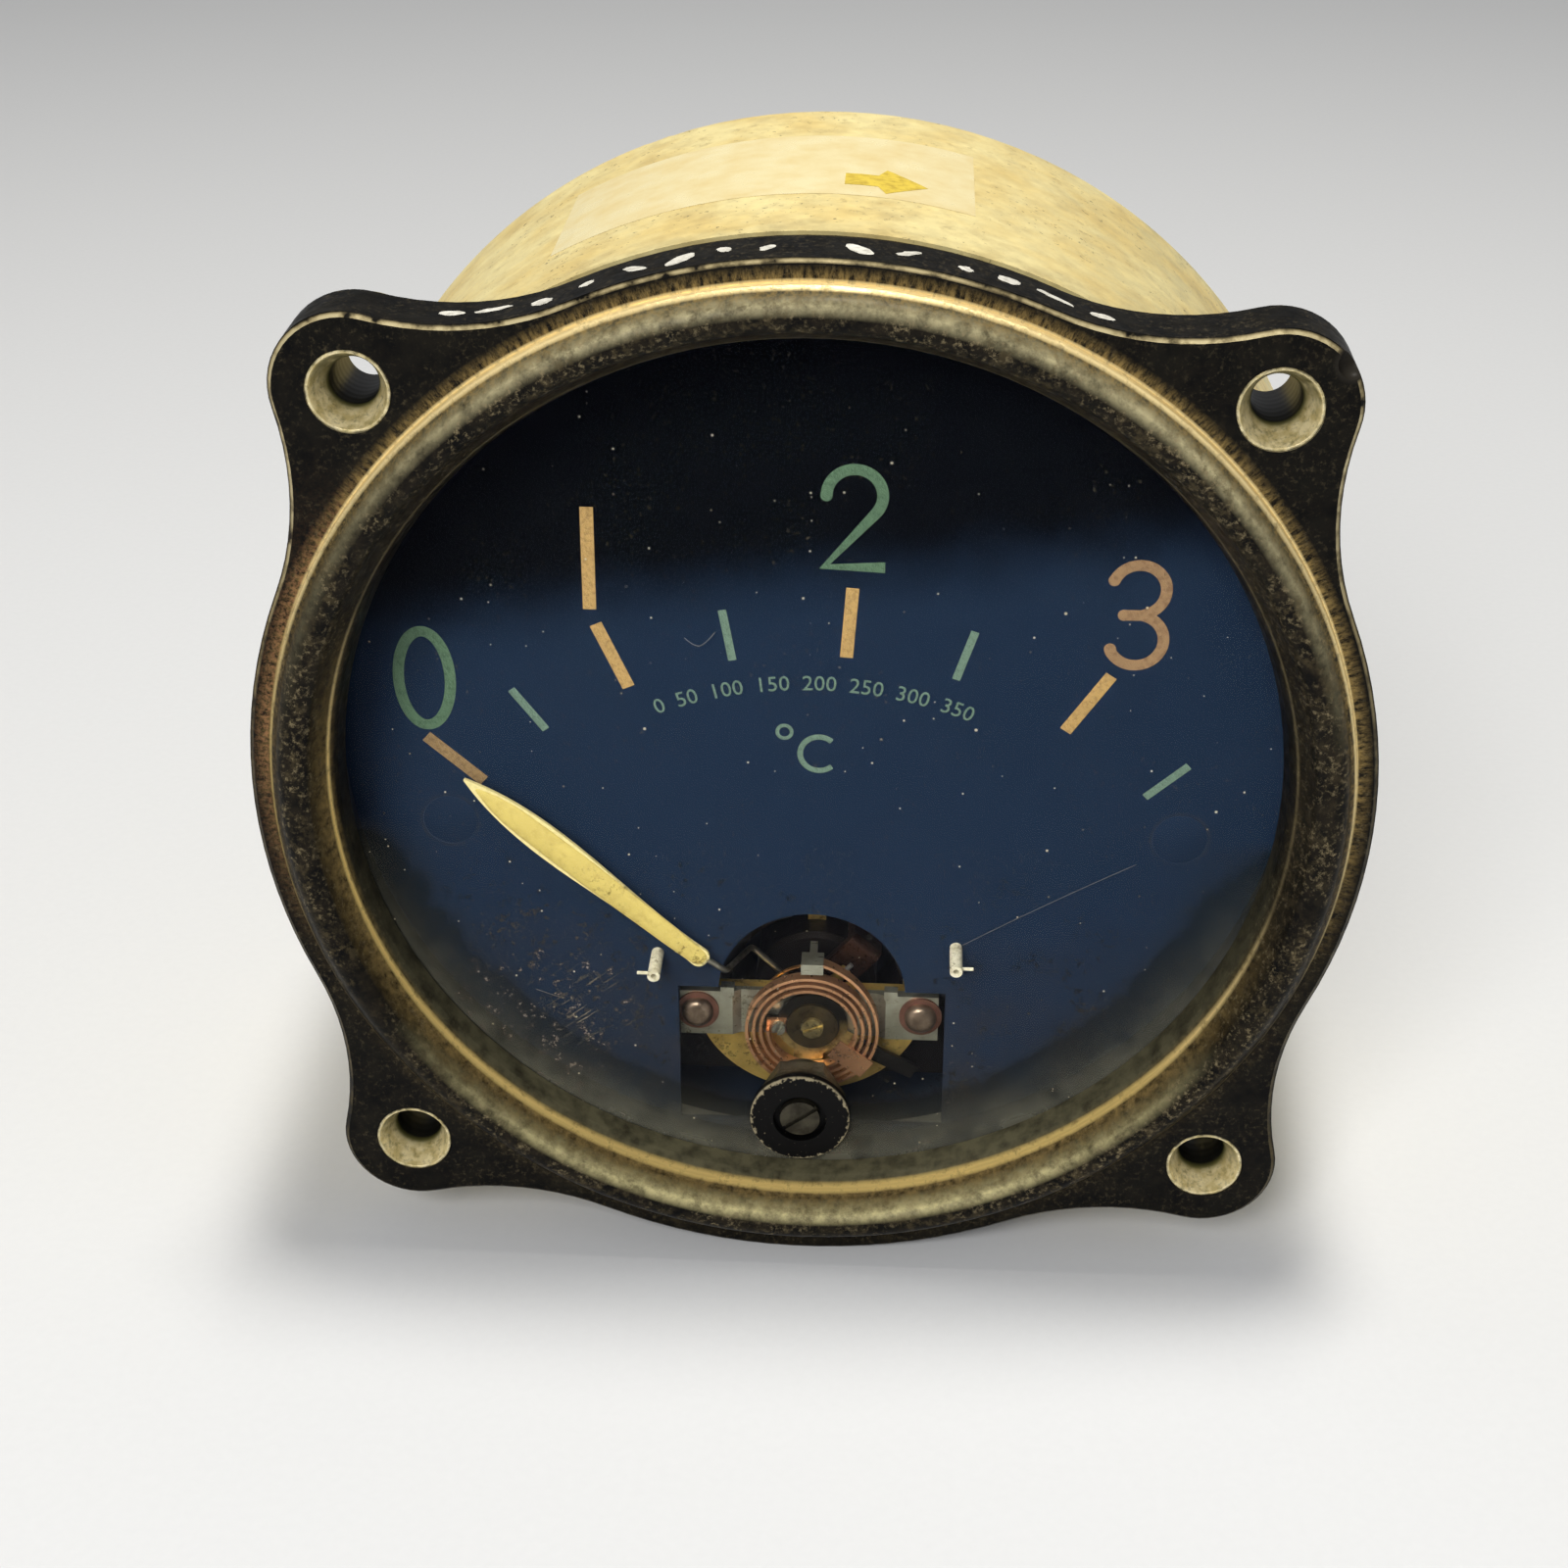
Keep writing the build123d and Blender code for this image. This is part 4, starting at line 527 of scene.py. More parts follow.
def cutMetal(name):
    look = metalLooks[name]
    material, tree, shader = newFinish(name)
    place = millimetres(tree)
    combed = millimetres(tree, look.get("comb", (1, 1, 1)))
    marks = add(tree, "TexNoise", {"Vector": combed, "Scale": 2 / look["size"], "Detail": 4.0})
    tarnish = times(tree, blotches(tree, place, look["size"] * 3, 0.4, 0.64, 5), look["share"])
    colour = layered(tree, look, "colour", tarnish=tarnish)
    roughness = add(tree, "MapRange", {"Value": marks, "From Min": 0.3, "From Max": 0.7,
                                       "To Min": look["rough"] - 0.06,
                                       "To Max": look["rough"] + 0.14})
    relief = add(tree, "Bump", {"Strength": 0.3, "Distance": 0.00002, "Height": marks})
    feed(tree, shader, {"Base Color": colour, "Metallic": 0.82, "Roughness": roughness, "Normal": relief})
    return material


# zero lever: its arm and tail blued dark; the brass around its hub is painted only below the pivot, as a painted
# highlight where it shows gold below the spiral
leverLook = {"brass": "d9c27e", "dull": "8a7440", "blued": "2b2823", "hub": (2.3, 4.1), "roughness": 0.3}


def bluedLever(look):
    material, tree, shader = newFinish("half blued brass lever")
    place = millimetres(tree)
    axes = add(tree, "SeparateXYZ", {"Vector": place})
    flat = millimetres(tree, (1, 0, 1))
    centred = add(tree, "VectorMath", {0: flat, 1: (pivot[0], 0, pivot[1])}, operation="SUBTRACT")
    reach = add(tree, "VectorMath", {0: centred}, operation="LENGTH").outputs["Value"]
    start, end = look["hub"]
    height = axes.outputs["Z"]
    # painted highlight: the brass shows only below the pivot, where the light catches it
    below = add(tree, "MapRange", {"Value": height, "From Min": pivot[1] + 0.6, "From Max": pivot[1] - 1.2})
    hub = times(tree, add(tree, "MapRange", {"Value": reach, "From Min": start - 0.1, "From Max": start}),
                add(tree, "MapRange", {"Value": reach, "From Min": end + 0.1, "From Max": end}), below)
    dulled = blotches(tree, place, 0.9, 0.4, 0.64, 5)
    brass = layered(tree, look, "brass", dull=dulled)
    colour = add(tree, "MixRGB", {0: hub, 1: linear(look["blued"]), 2: brass})
    marks = add(tree, "TexNoise", {"Vector": place, "Scale": 4.0, "Detail": 4.0})
    relief = add(tree, "Bump", {"Strength": 0.25, "Distance": 0.00002, "Height": marks})
    roughness = add(tree, "MapRange", {"Value": marks, "To Min": look["roughness"] - 0.05,
                                       "To Max": look["roughness"] + 0.15})
    feed(tree, shader, {"Base Color": colour, "Metallic": 0.85, "Roughness": roughness, "Normal": relief})
    return material


# terminal studs: brass with a rolled thread round them and the brown of age in its roots
threadLook = {"brass": "e2bd66", "worn": "b08a45", "root": "7c5a2b", "pitch": 0.8, "roughness": 0.36}


def threadedBrass(look):
    material, tree, shader = newFinish("threaded brass")
    place = millimetres(tree)
    axes = add(tree, "SeparateXYZ", {"Vector": place})
    turns = add(tree, "Math", {0: axes.outputs["Y"], 1: 2 * math.pi / look["pitch"]}, operation="MULTIPLY")
    crest = add(tree, "Math", {0: turns}, operation="SINE")
    crest = add(tree, "MapRange", {"Value": crest, "From Min": -1.0, "From Max": 1.0})
    handled = blotches(tree, place, 1.1, 0.4, 0.64, 5)
    inRoots = add(tree, "MapRange", {"Value": crest, "From Min": 0.55, "From Max": 0.1})
    colour = layered(tree, look, "brass", worn=handled, root=inRoots)
    relief = add(tree, "Bump", {"Strength": 0.9, "Distance": 0.0004, "Height": crest})
    feed(tree, shader, {"Base Color": colour, "Metallic": 0.9, "Roughness": look["roughness"],
                        "Normal": relief})
    return material


# plastics, rubber and dull paint: mottled, with a fine moulded or brushed tooth
dullLooks = {
    "moulded black phenolic": {"colour": "17130f", "fleck": "2c231a", "size": 1.2, "roughness": 0.34},
    "black rubber": {"colour": "121212", "fleck": "24221f", "size": 0.8, "roughness": 0.75},
    "matt black ring paint": {"colour": "101a2c", "fleck": "171d28", "size": 2.0, "roughness": 0.6},
    "red varnished winding": {"colour": "6e2a1a", "fleck": "8c4a2b", "size": 0.6, "roughness": 0.35},
    "woven lead sleeve": {"colour": "8b7a4c", "fleck": "5d5032", "size": 0.4, "roughness": 0.8},
}


def mottled(name):
    look = dullLooks[name]
    material, tree, shader = newFinish(name)
    place = millimetres(tree)
    fleck = blotches(tree, place, look["size"], 0.42, 0.66, 5)
    tooth = add(tree, "TexNoise", {"Vector": place, "Scale": 3.0, "Detail": 4.0})
    colour = layered(tree, look, "colour", fleck=fleck)
    roughness = add(tree, "MapRange", {"Value": tooth, "To Min": look["roughness"] - 0.08,
                                       "To Max": look["roughness"] + 0.1})
    relief = add(tree, "Bump", {"Strength": 0.25, "Distance": 0.00004, "Height": tooth})
    feed(tree, shader, {"Base Color": colour, "Roughness": roughness, "Normal": relief})
    return material


# adjuster bushing: black lacquer with a ragged pale rim where it has chipped
bushingLook = {"lacquer": "060607", "chipped": "a59a7e", "centre": (-0.65, -30.5), "rim": 4.0}


def chippedLacquer(look):
    material, tree, shader = newFinish("chipped black lacquer")
    place = millimetres(tree)
    x, z = look["centre"]
    centred = add(tree, "VectorMath", {0: millimetres(tree, (1, 0, 1)), 1: (x, 0, z)}, operation="SUBTRACT")
    reach = add(tree, "VectorMath", {0: centred}, operation="LENGTH").outputs["Value"]
    chips = times(tree, blotches(tree, place, 0.35, 0.2, 0.8, 4), 0.7)
    ragged = add(tree, "Math", {0: reach, 1: chips}, operation="ADD")
    rim = add(tree, "MapRange", {"Value": ragged, "From Min": look["rim"] + 0.18,
                                 "From Max": look["rim"] + 0.3})
    specks = times(tree, blotches(tree, place, 0.3, 0.68, 0.74, 3), 0.6)
    face = add(tree, "SeparateXYZ", {"Vector": place}).outputs["Y"]
    face = add(tree, "MapRange", {"Value": face, "From Min": 3.35, "From Max": 3.15})
    worn = eitherOf(tree, times(tree, rim, face, 0.9), specks)
    colour = layered(tree, look, "lacquer", chipped=worn)
    roughness = add(tree, "MapRange", {"Value": worn, "To Min": 0.5, "To Max": 0.75})
    relief = add(tree, "Bump", {"Strength": 0.6, "Distance": 0.00005, "Height": worn}, invert=True)
    feed(tree, shader, {"Base Color": colour, "Roughness": roughness, "Normal": relief,
                        "Specular IOR Level": 0.12})
    return material


# pointer: ivory lacquer on the blade's edges, the cranked wire and hub left bare and grey
pointerLook = {"ivory": "e6d796", "pit": "b9a768", "wire": "8c887a", "tarnish": "4e4a40", "bladeFrom": 11.4}


def lacqueredPointer(look):
    material, tree, shader = newFinish("lacquered pointer with bare wire")
    place = millimetres(tree)
    flat = millimetres(tree, (1, 0, 1))
    centred = add(tree, "VectorMath", {0: flat, 1: (pivot[0], 0, pivot[1])}, operation="SUBTRACT")
    reach = add(tree, "VectorMath", {0: centred}, operation="LENGTH").outputs["Value"]
    blade = add(tree, "MapRange", {"Value": reach, "From Min": look["bladeFrom"],
                                   "From Max": look["bladeFrom"] + 0.3})
    tarnish = blotches(tree, place, 0.8, 0.4, 0.65, 5)
    wire = layered(tree, look, "wire", tarnish=tarnish)
    lacquer = layered(tree, look, "ivory", pit=times(tree, blotches(tree, place, 0.4, 0.45, 0.7, 4), 0.4))
    colour = add(tree, "MixRGB", {0: blade, 1: wire, 2: lacquer})
    metallic = add(tree, "MapRange", {"Value": blade, "To Min": 0.85, "To Max": 0.0})
    roughness = add(tree, "MapRange", {"Value": blade, "To Min": 0.35, "To Max": 0.6})
    feed(tree, shader, {"Base Color": colour, "Metallic": metallic, "Roughness": roughness})
    return material


slotFinishes = {
    "black_enamel": wornEnamel(bezelLook),
    "insert_steel": wornInsert(insertLook),
    "seal_rubber": mottled("black rubber"),
    "window_glass": dustyGlass(glassLook),
    "ring_black": mottled("matt black ring paint"),
    "dial_black": dialEnamel(dialLook),
    "luminous_cream": chalkyPaint("cream luminous paint"),
    "plate_aluminium": cutMetal("machined aluminium"),
    "spring_steel": cutMetal("dark spring steel"),
    "case_gold": passivatedGold(caseLook),
    "plain_steel": cutMetal("plated steel"),
    "turned_brass": cutMetal("turned brass"),
    "bakelite": mottled("moulded black phenolic"),
    "bushing_black": chippedLacquer(bushingLook),
    "copper_strip": cutMetal("copper bimetal strip"),
    "dark_steel": cutMetal("dark blued steel"),
    "nickel_bar": cutMetal("brushed nickel silver"),
    "coil_copper": cutMetal("enamelled copper wire"),
    "spring_bronze": cutMetal("phosphor bronze"),
    "soft_iron": cutMetal("soft iron"),
    "magnet_alloy": cutMetal("cast magnet alloy"),
    "winding_red": mottled("red varnished winding"),
    "lead_sleeve": mottled("woven lead sleeve"),
}
for subpart in frame["record"]["subparts"]:
    dress(subpart["node"], slotFinishes[subpart["material_slot"]])
dress("pointer_stops", chalkyPaint("ivory lacquer"))
dress("pointer", lacqueredPointer(pointerLook))
dress("bridge_washers", cutMetal("browned copper washer"))
dress("bridge_screws", cutMetal("browned screw steel"))
dress("front_jewel_nut", cutMetal("dark blued brass"))
dress("front_jewel_screw", cutMetal("browned brass"))
dress("zero_screw", cutMetal("dull screw steel"))
dress("zero_lever", bluedLever(leverLook))
threaded = threadedBrass(threadLook)
dress("terminal_stud_positive", threaded)
dress("terminal_stud_negative", threaded)

ochre = chalkyPaint("aged ochre radium paint")
brownOchre = chalkyPaint("browned ochre radium paint")
green = chalkyPaint("aged green radium paint")
tan = chalkyPaint("aged tan radium paint")
faded = chalkyPaint("faded grey-green scale paint")


def deselect():
    if bpy.context.mode != "OBJECT":
        bpy.ops.object.mode_set(mode="OBJECT")
    bpy.ops.object.select_all(action="DESELECT")


def selectOnly(piece):
    deselect()
    piece.select_set(True)
    bpy.context.view_layer.objects.active = piece


def copyPiece(piece):
    # a copy with its own mesh, selected and ready to be moved
    twin = piece.copy()
    twin.data = piece.data.copy()
    bpy.context.scene.collection.objects.link(twin)
    selectOnly(twin)


def settle(name, material, body):
    # the finished piece gets its name, finish and body, with its place in its mesh
    piece = bpy.context.object
    bpy.ops.object.transform_apply(location=True, rotation=True, scale=True)
    piece.name = name
    piece.data.name = name
    piece.data.materials.clear()
    piece.data.materials.append(material)
    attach(piece, body)
    return piece


def paintLine(width, coat, roundEnds=()):
    # the drawn line is given the brush's width, then flattened to a coat of paint on the dial; a loaded
    # brush leaves round ends, and the mark is set a little higher up to look right through the glass
    bpy.ops.object.mode_set(mode="OBJECT")
    bpy.ops.object.convert(target="CURVE")
    curve = bpy.context.object.data
    curve.bevel_depth = width / 2 * mm
    curve.bevel_resolution = 3
    curve.use_fill_caps = True
    bpy.ops.object.convert(target="MESH")
    bpy.ops.object.mode_set(mode="EDIT")
    bpy.ops.mesh.select_all(action="SELECT")
    bpy.ops.transform.resize(value=(1, coat / width, 1), center_override=(0, dialFace * mm, 0))
    for x, z in roundEnds:
        bpy.ops.mesh.primitive_cylinder_add(vertices=20, radius=width / 2 * mm, depth=coat * mm,
                                            location=(x * mm, dialFace * mm, z * mm),
                                            rotation=(math.pi / 2, 0, 0))
    bpy.ops.mesh.select_all(action="SELECT")
    bpy.ops.transform.translate(value=(0, 0, glassShift * mm))
    bpy.ops.object.mode_set(mode="OBJECT")


def startPen(x, z):
    deselect()
    bpy.ops.mesh.primitive_plane_add(size=0.001, location=(x * mm, dialFace * mm, z * mm))
    bpy.ops.object.transform_apply(location=True)
    bpy.ops.object.mode_set(mode="EDIT")
    bpy.ops.mesh.select_all(action="SELECT")
    bpy.ops.mesh.merge(type="CENTER")


def drawTo(x, z, fromX, fromZ):
    step = ((x - fromX) * mm, 0, (z - fromZ) * mm)
    bpy.ops.mesh.extrude_region_move(TRANSFORM_OT_translate={"value": step})


def drawArc(x, z, degrees, steps):
    # a turn about (x, z), clockwise as the face is looked at when degrees is positive
    bpy.ops.mesh.spin(steps=steps, angle=math.radians(degrees),
                      center=(x * mm, dialFace * mm, z * mm), axis=(0, -1, 0))


def onScale(angle, reach):
    turn = math.radians(angle)
    return pivot[0] + reach * math.sin(turn), pivot[1] + reach * math.cos(turn)


# scale: eight lines, four long and broad, four short and narrow
scaleLook = {
    "long": [-48.3, -24.2, 4.1, 33.9], "short": [-36.8, -10.3, 18.2, 48.1],
    "inner": 34.2, "longOuter": 39.9, "shortOuter": 38.4, "longWidth": 1.02, "shortWidth": 0.66, "coat": 0.05,
}


def scaleLine(angle, outer, width, name, material):
    inX, inZ = onScale(angle, scaleLook["inner"])
    outX, outZ = onScale(angle, outer)
    startPen(inX, inZ)
    drawTo(outX, outZ, inX, inZ)
    paintLine(width, scaleLook["coat"])
    return settle(name, material, "housing")


for k, angle in enumerate(scaleLook["long"]):
    # the first long line lies in painted shade, in a darker copy of the ochre
    paint = ochre if k else brownOchre
    scaleLine(angle, scaleLook["longOuter"], scaleLook["longWidth"], "scale_line_long_" + str(k), paint)
for k, angle in enumerate(scaleLook["short"]):
    scaleLine(angle, scaleLook["shortOuter"], scaleLook["shortWidth"], "scale_line_short_" + str(k), faded)
print("scale lines painted")

# numerals drawn with one stroke each, about 8.7 mm high
numeralLook = {
    "stroke": 0.9, "coat": 0.05, "oneStroke": 1.05, "unitStroke": 0.46, "ringStroke": 0.3,
    "zeroPlace": (-29.6, 5.0), "zeroHalf": (1.98, 3.95),
    "oneFoot": (-16.75, 11.1), "oneTop": (-16.7, 19.3),
    "twoMiddle": (2.9, 20.6), "twoReach": 2.05, "twoTurn": 218,
    "twoHeel": (0.75, 15.0), "twoToe": (5.2, 15.0),
    "unitMiddle": (0.45, -0.62), "unitReach": 1.45, "unitGap": 48,
    "ringMiddle": (-2.2, 1.2), "ringReach": 0.55,
}
threeLook = {"x": 23.85, "top": 13.65, "bottom": 9.6, "reach": 2.0, "start": 158, "stub": 1.0, "stubEnd": 0.2}


def ovalNumeral(look):
    deselect()
    x, z = look["zeroPlace"]
    wide, tall = look["zeroHalf"]
    middle = (x * mm, dialFace * mm, z * mm)
    bpy.ops.mesh.primitive_circle_add(vertices=56, radius=mm, fill_type="NOTHING", location=middle,
                                      rotation=(math.pi / 2, 0, 0))
    bpy.ops.object.transform_apply(location=True, rotation=True)
    bpy.ops.object.mode_set(mode="EDIT")
    bpy.ops.mesh.select_all(action="SELECT")
    bpy.ops.transform.resize(value=(wide, 1, tall), center_override=middle)
    paintLine(look["stroke"], look["coat"])
    return settle("numeral_zero", green, "housing")


def oneNumeral(look):
    footX, footZ = look["oneFoot"]
    topX, topZ = look["oneTop"]
    startPen(footX, footZ)
    drawTo(topX, topZ, footX, footZ)
    paintLine(look["oneStroke"], look["coat"])
    return settle("numeral_one", ochre, "housing")


def twoNumeral(look):
    x, z = look["twoMiddle"]
    heelX, heelZ = look["twoHeel"]
    toeX, toeZ = look["twoToe"]
    start = (x - look["twoReach"], z)
    end = math.radians(180 - look["twoTurn"])
    startPen(start[0], start[1])
    drawArc(x, z, look["twoTurn"], 24)
    drawTo(heelX, heelZ, x + look["twoReach"] * math.cos(end), z + look["twoReach"] * math.sin(end))
    drawTo(toeX, toeZ, heelX, heelZ)
    paintLine(look["stroke"], look["coat"], [start])
    return settle("numeral_two", green, "housing")


def threeNumeral(look):
    x, top, bottom, reach = look["x"], look["top"], look["bottom"], look["reach"]
    turn = math.radians(look["start"])
    startX, startZ = x + reach * math.cos(turn), top + reach * math.sin(turn)
    endX, endZ = x + reach * math.cos(turn), bottom - reach * math.sin(turn)
    middle = (top + bottom) / 2
    startPen(startX, startZ)
    drawArc(x, top, look["start"] + 90, 22)
    drawArc(x, bottom, look["start"] + 90, 24)
    ends = [(startX, startZ), (endX, endZ), (x - look["stub"], middle)]
    paintLine(numeralLook["stroke"], numeralLook["coat"], ends)
    arcs = bpy.context.object
    startPen(x - look["stub"], middle)
    drawTo(x + look["stubEnd"], middle, x - look["stub"], middle)
    paintLine(numeralLook["stroke"], numeralLook["coat"])
    arcs.select_set(True)
    bpy.context.view_layer.objects.active = arcs
    bpy.ops.object.join()
    return settle("numeral_three", tan, "housing")


def unitLetter(look):
    x, z = look["unitMiddle"]
    gap = math.radians(look["unitGap"])
    startPen(x + look["unitReach"] * math.cos(gap), z + look["unitReach"] * math.sin(gap))
    drawArc(x, z, 2 * look["unitGap"] - 360, 26)
    paintLine(look["unitStroke"], look["coat"])
    return settle("unit_letter", faded, "housing")


def degreeRing(look):
    x, z = look["ringMiddle"]
    startPen(x + look["ringReach"], z)
    drawArc(x, z, 360, 20)
    bpy.ops.mesh.select_all(action="SELECT")
    bpy.ops.mesh.remove_doubles(threshold=0.00002)
    paintLine(look["ringStroke"], look["coat"])
    return settle("degree_ring", faded, "housing")


ovalNumeral(numeralLook)
oneNumeral(numeralLook)
twoNumeral(numeralLook)
threeNumeral(threeLook)
unitLetter(numeralLook)
degreeRing(numeralLook)
print("numerals painted")

# small plain numbers on an arc under the scale, one for each line
arcLook = {"words": "0 50 100 150 200 250 300 350", "size": 1.75, "reach": 31.3, "from": -21.6, "to": 21.6,
           "coat": 0.04}


def arcNumbers(look):
    count = len(look["words"])
    made = []
    for k, sign in enumerate(look["words"]):
        if sign == " ":
            continue
        angle = look["from"] + (look["to"] - look["from"]) * k / (count - 1)
        x, z = onScale(angle, look["reach"])
        deselect()
        bpy.ops.object.text_add(location=(x * mm, (dialFace + look["coat"] / 2) * mm, (z + glassShift) * mm),
                                rotation=(math.pi / 2, math.radians(angle), 0))
        text = bpy.context.object
        text.data.body = sign
        text.data.size = look["size"] * mm
        text.data.align_x = "CENTER"
        text.data.extrude = look["coat"] * mm
        text.data.resolution_u = 3
        bpy.ops.object.convert(target="MESH")
        made.append(bpy.context.object)
    deselect()
    for piece in made:
        piece.select_set(True)
    bpy.context.view_layer.objects.active = made[0]
    bpy.ops.object.join()
    return settle("arc_numbers", faded, "housing")


arcNumbers(arcLook)
print("arc numbers printed")

# blank label on the case, with one plain arrow: a film that follows the round of the case
labelLook = {
    "left": -19.5, "right": 11.0, "front": 15.5, "rear": 31.5, "film": 0.02,
    "arrowFrom": 1.6, "arrowTo": 7.6, "arrowPlace": 19.6, "arrowWide": 6.4, "shaftWide": 2.9, "head": 3.1,
    "above": 41.5, "pale": "fbeebb", "yellowed": "e8d397",
}


def layDown(target, film):
    # the flat shape is laid down on the rounded metal from above
    bpy.ops.object.mode_set(mode="OBJECT")
    bpy.ops.object.transform_apply(location=True, rotation=True, scale=True)
    wrap = bpy.context.object.modifiers.new("lay", "SHRINKWRAP")
    wrap.target = nodes[target]
    wrap.wrap_method = "PROJECT"
    wrap.use_project_z = True
    wrap.use_negative_direction = True
    wrap.use_positive_direction = False
    wrap.offset = film * mm
    bpy.ops.object.modifier_apply(modifier=wrap.name)


# clear label film, faded: a paler, slicker patch on the case
labelFinish, labelTree, labelShader = newFinish("faded clear label film")
labelSpots = blotches(labelTree, millimetres(labelTree), 3.0, 0.35, 0.7, 5)
feed(labelTree, labelShader, {
    "Base Color": layered(labelTree, labelLook, "pale", yellowed=labelSpots),
    "Roughness": add(labelTree, "MapRange", {"Value": labelSpots, "To Min": 0.25, "To Max": 0.42}),
    "Metallic": 0.1,
})


def caseLabel(look):
    deselect()
    width = look["right"] - look["left"]
    length = look["rear"] - look["front"]
    middle = ((look["left"] + look["right"]) / 2, (look["front"] + look["rear"]) / 2, look["above"])
    place = Vector(middle) * mm
    bpy.ops.mesh.primitive_grid_add(x_subdivisions=48, y_subdivisions=4, size=mm, location=place)
    bpy.context.object.scale = (width, length, 1)
    layDown("case", look["film"])
    return settle("case_label", labelFinish, "housing")


def caseArrow(look):
    deselect()
    middle = ((look["arrowFrom"] + look["arrowTo"]) / 2, look["arrowPlace"], look["above"])
    place = Vector(middle) * mm
    bpy.ops.mesh.primitive_grid_add(x_subdivisions=10, y_subdivisions=2, size=mm, location=place)
    arrow = bpy.context.object
    arrow.scale = (look["arrowTo"] - look["arrowFrom"], look["arrowWide"], 1)
    bpy.ops.object.transform_apply(location=True, scale=True)
    neck = look["arrowTo"] - look["head"]
    for vertex in arrow.data.vertices:
        x = vertex.co.x / mm
        share = look["shaftWide"] / look["arrowWide"] if x < neck else (look["arrowTo"] - x) / look["head"]
        vertex.co.y = (look["arrowPlace"] + (vertex.co.y / mm - look["arrowPlace"]) * share) * mm
    layDown("case", look["film"] * 2)
    return settle("case_arrow", chalkyPaint("yellow marking paint"), "housing")


caseLabel(labelLook)
caseArrow(labelLook)
print("label and arrow laid on the case")

# plain dabs of white paint along the top of the flange's rim, each a little different
dabLook = {
    "places": [-24.4, -21.6, -18.2, -15.2, -11.9, -8.8, -5.9, -3.0, 3.1, 6.4, 10.2, 13.1, 16.2, 19.4],
    "long": 0.9, "narrow": 0.5, "ragged": 0.1, "edge": 0.12, "film": 0.012,
    "line": 2.6, "wander": 0.35, "lean": 50, "above": 41.5,
}
rimWhite = chalkyPaint("white rim paint")


def rimDab(k, x, look):
    deselect()
    place = Vector((x, look["line"] + look["wander"] * math.sin(2.3 * k), look["above"]))
    bpy.ops.mesh.primitive_circle_add(vertices=20, radius=mm, fill_type="NGON", location=place * mm)
    dab = bpy.context.object
    length = look["long"] * (1 + 0.45 * math.sin(1.7 * k))
    width = look["narrow"] * (1 + 0.3 * math.sin(4.1 * k))
    dab.scale = (length, width, 1)
    dab.rotation_euler = (0, 0, math.radians(look["lean"] * math.sin(2.9 * k)))
    bpy.ops.object.transform_apply(location=True, rotation=True, scale=True)
    bpy.ops.object.mode_set(mode="EDIT")
    bpy.ops.mesh.select_all(action="SELECT")
    bpy.ops.mesh.inset(thickness=look["edge"] * mm)
    bpy.ops.mesh.select_all(action="SELECT")
    bpy.ops.transform.vertex_random(offset=look["ragged"] * mm, uniform=0.5, seed=k + 1)
    bpy.ops.object.mode_set(mode="OBJECT")
    layDown("bezel", look["film"])
    return settle("rim_dab_" + str(k), rimWhite, "housing")


for k, x in enumerate(dabLook["places"]):
    rimDab(k, x, dabLook)
print("dabs painted on the rim")

# a few threads of lint behind the glass
lintLook = {
    "lint_right": {"thick": 0.035, "points": [(12.0, 9.3, -17.0), (18.5, 9.42, -12.9), (25.2, 9.44, -9.2)]},
    "lint_left": {"thick": 0.045,
                  "points": [(-9.7, 9.4, 9.4), (-9.0, 9.4, 8.7), (-8.2, 9.4, 8.8), (-7.4, 9.4, 9.9)]},
    "lint_low": {"thick": 0.045, "points": [(-22.4, 9.42, -22.5), (-21.3, 9.4, -22.9), (-20.2, 9.42, -23.3)]},
}
lintFinish = chalkyPaint("grey lint")


def lintThread(name, look):
    path = bpy.data.curves.new(name, "CURVE")
    path.dimensions = "3D"
    line = path.splines.new("NURBS")
    line.points.add(len(look["points"]) - 1)
    for point, place in zip(line.points, look["points"]):
        point.co = [c * mm for c in place] + [1]
    line.order_u = 3
    line.use_endpoint_u = True
    path.bevel_depth = look["thick"] / 2 * mm
    path.bevel_resolution = 1
    thread = bpy.data.objects.new(name, path)
    bpy.context.scene.collection.objects.link(thread)
    selectOnly(thread)
    bpy.ops.object.convert(target="MESH")
    return settle(name, lintFinish, "housing")


for name, look in lintLook.items():
    lintThread(name, look)
print("lint laid")

# threaded inserts: a thin rim, a deep countersink, the bore, and a collar behind the ear, cut off
# beside the case
insertShape = {
    "hole": 31.4325, "outer": 2.95, "rim": 0.2, "step": 0.1, "bore": 1.78, "sink": 2.2, "ear": 5.0,
    "collar": 4.35, "collarLength": 3.55, "clear": 41.5, "round": 0.07,
}


def pickFaces(piece, test):
    bpy.ops.object.mode_set(mode="EDIT")
    bpy.context.tool_settings.mesh_select_mode = (False, False, True)
    bpy.ops.mesh.select_all(action="DESELECT")
    bpy.ops.object.mode_set(mode="OBJECT")
    for face in piece.data.polygons:
        face.select = test(face)
    bpy.ops.object.mode_set(mode="EDIT")


def pull(y, share, middle):
    # a new row of faces from the picked ones, moved along the bore and drawn in or out
    bpy.ops.mesh.extrude_region_move(TRANSFORM_OT_translate={"value": (0, y * mm, 0)})
    bpy.ops.transform.resize(value=(share, 1, share), center_override=middle)


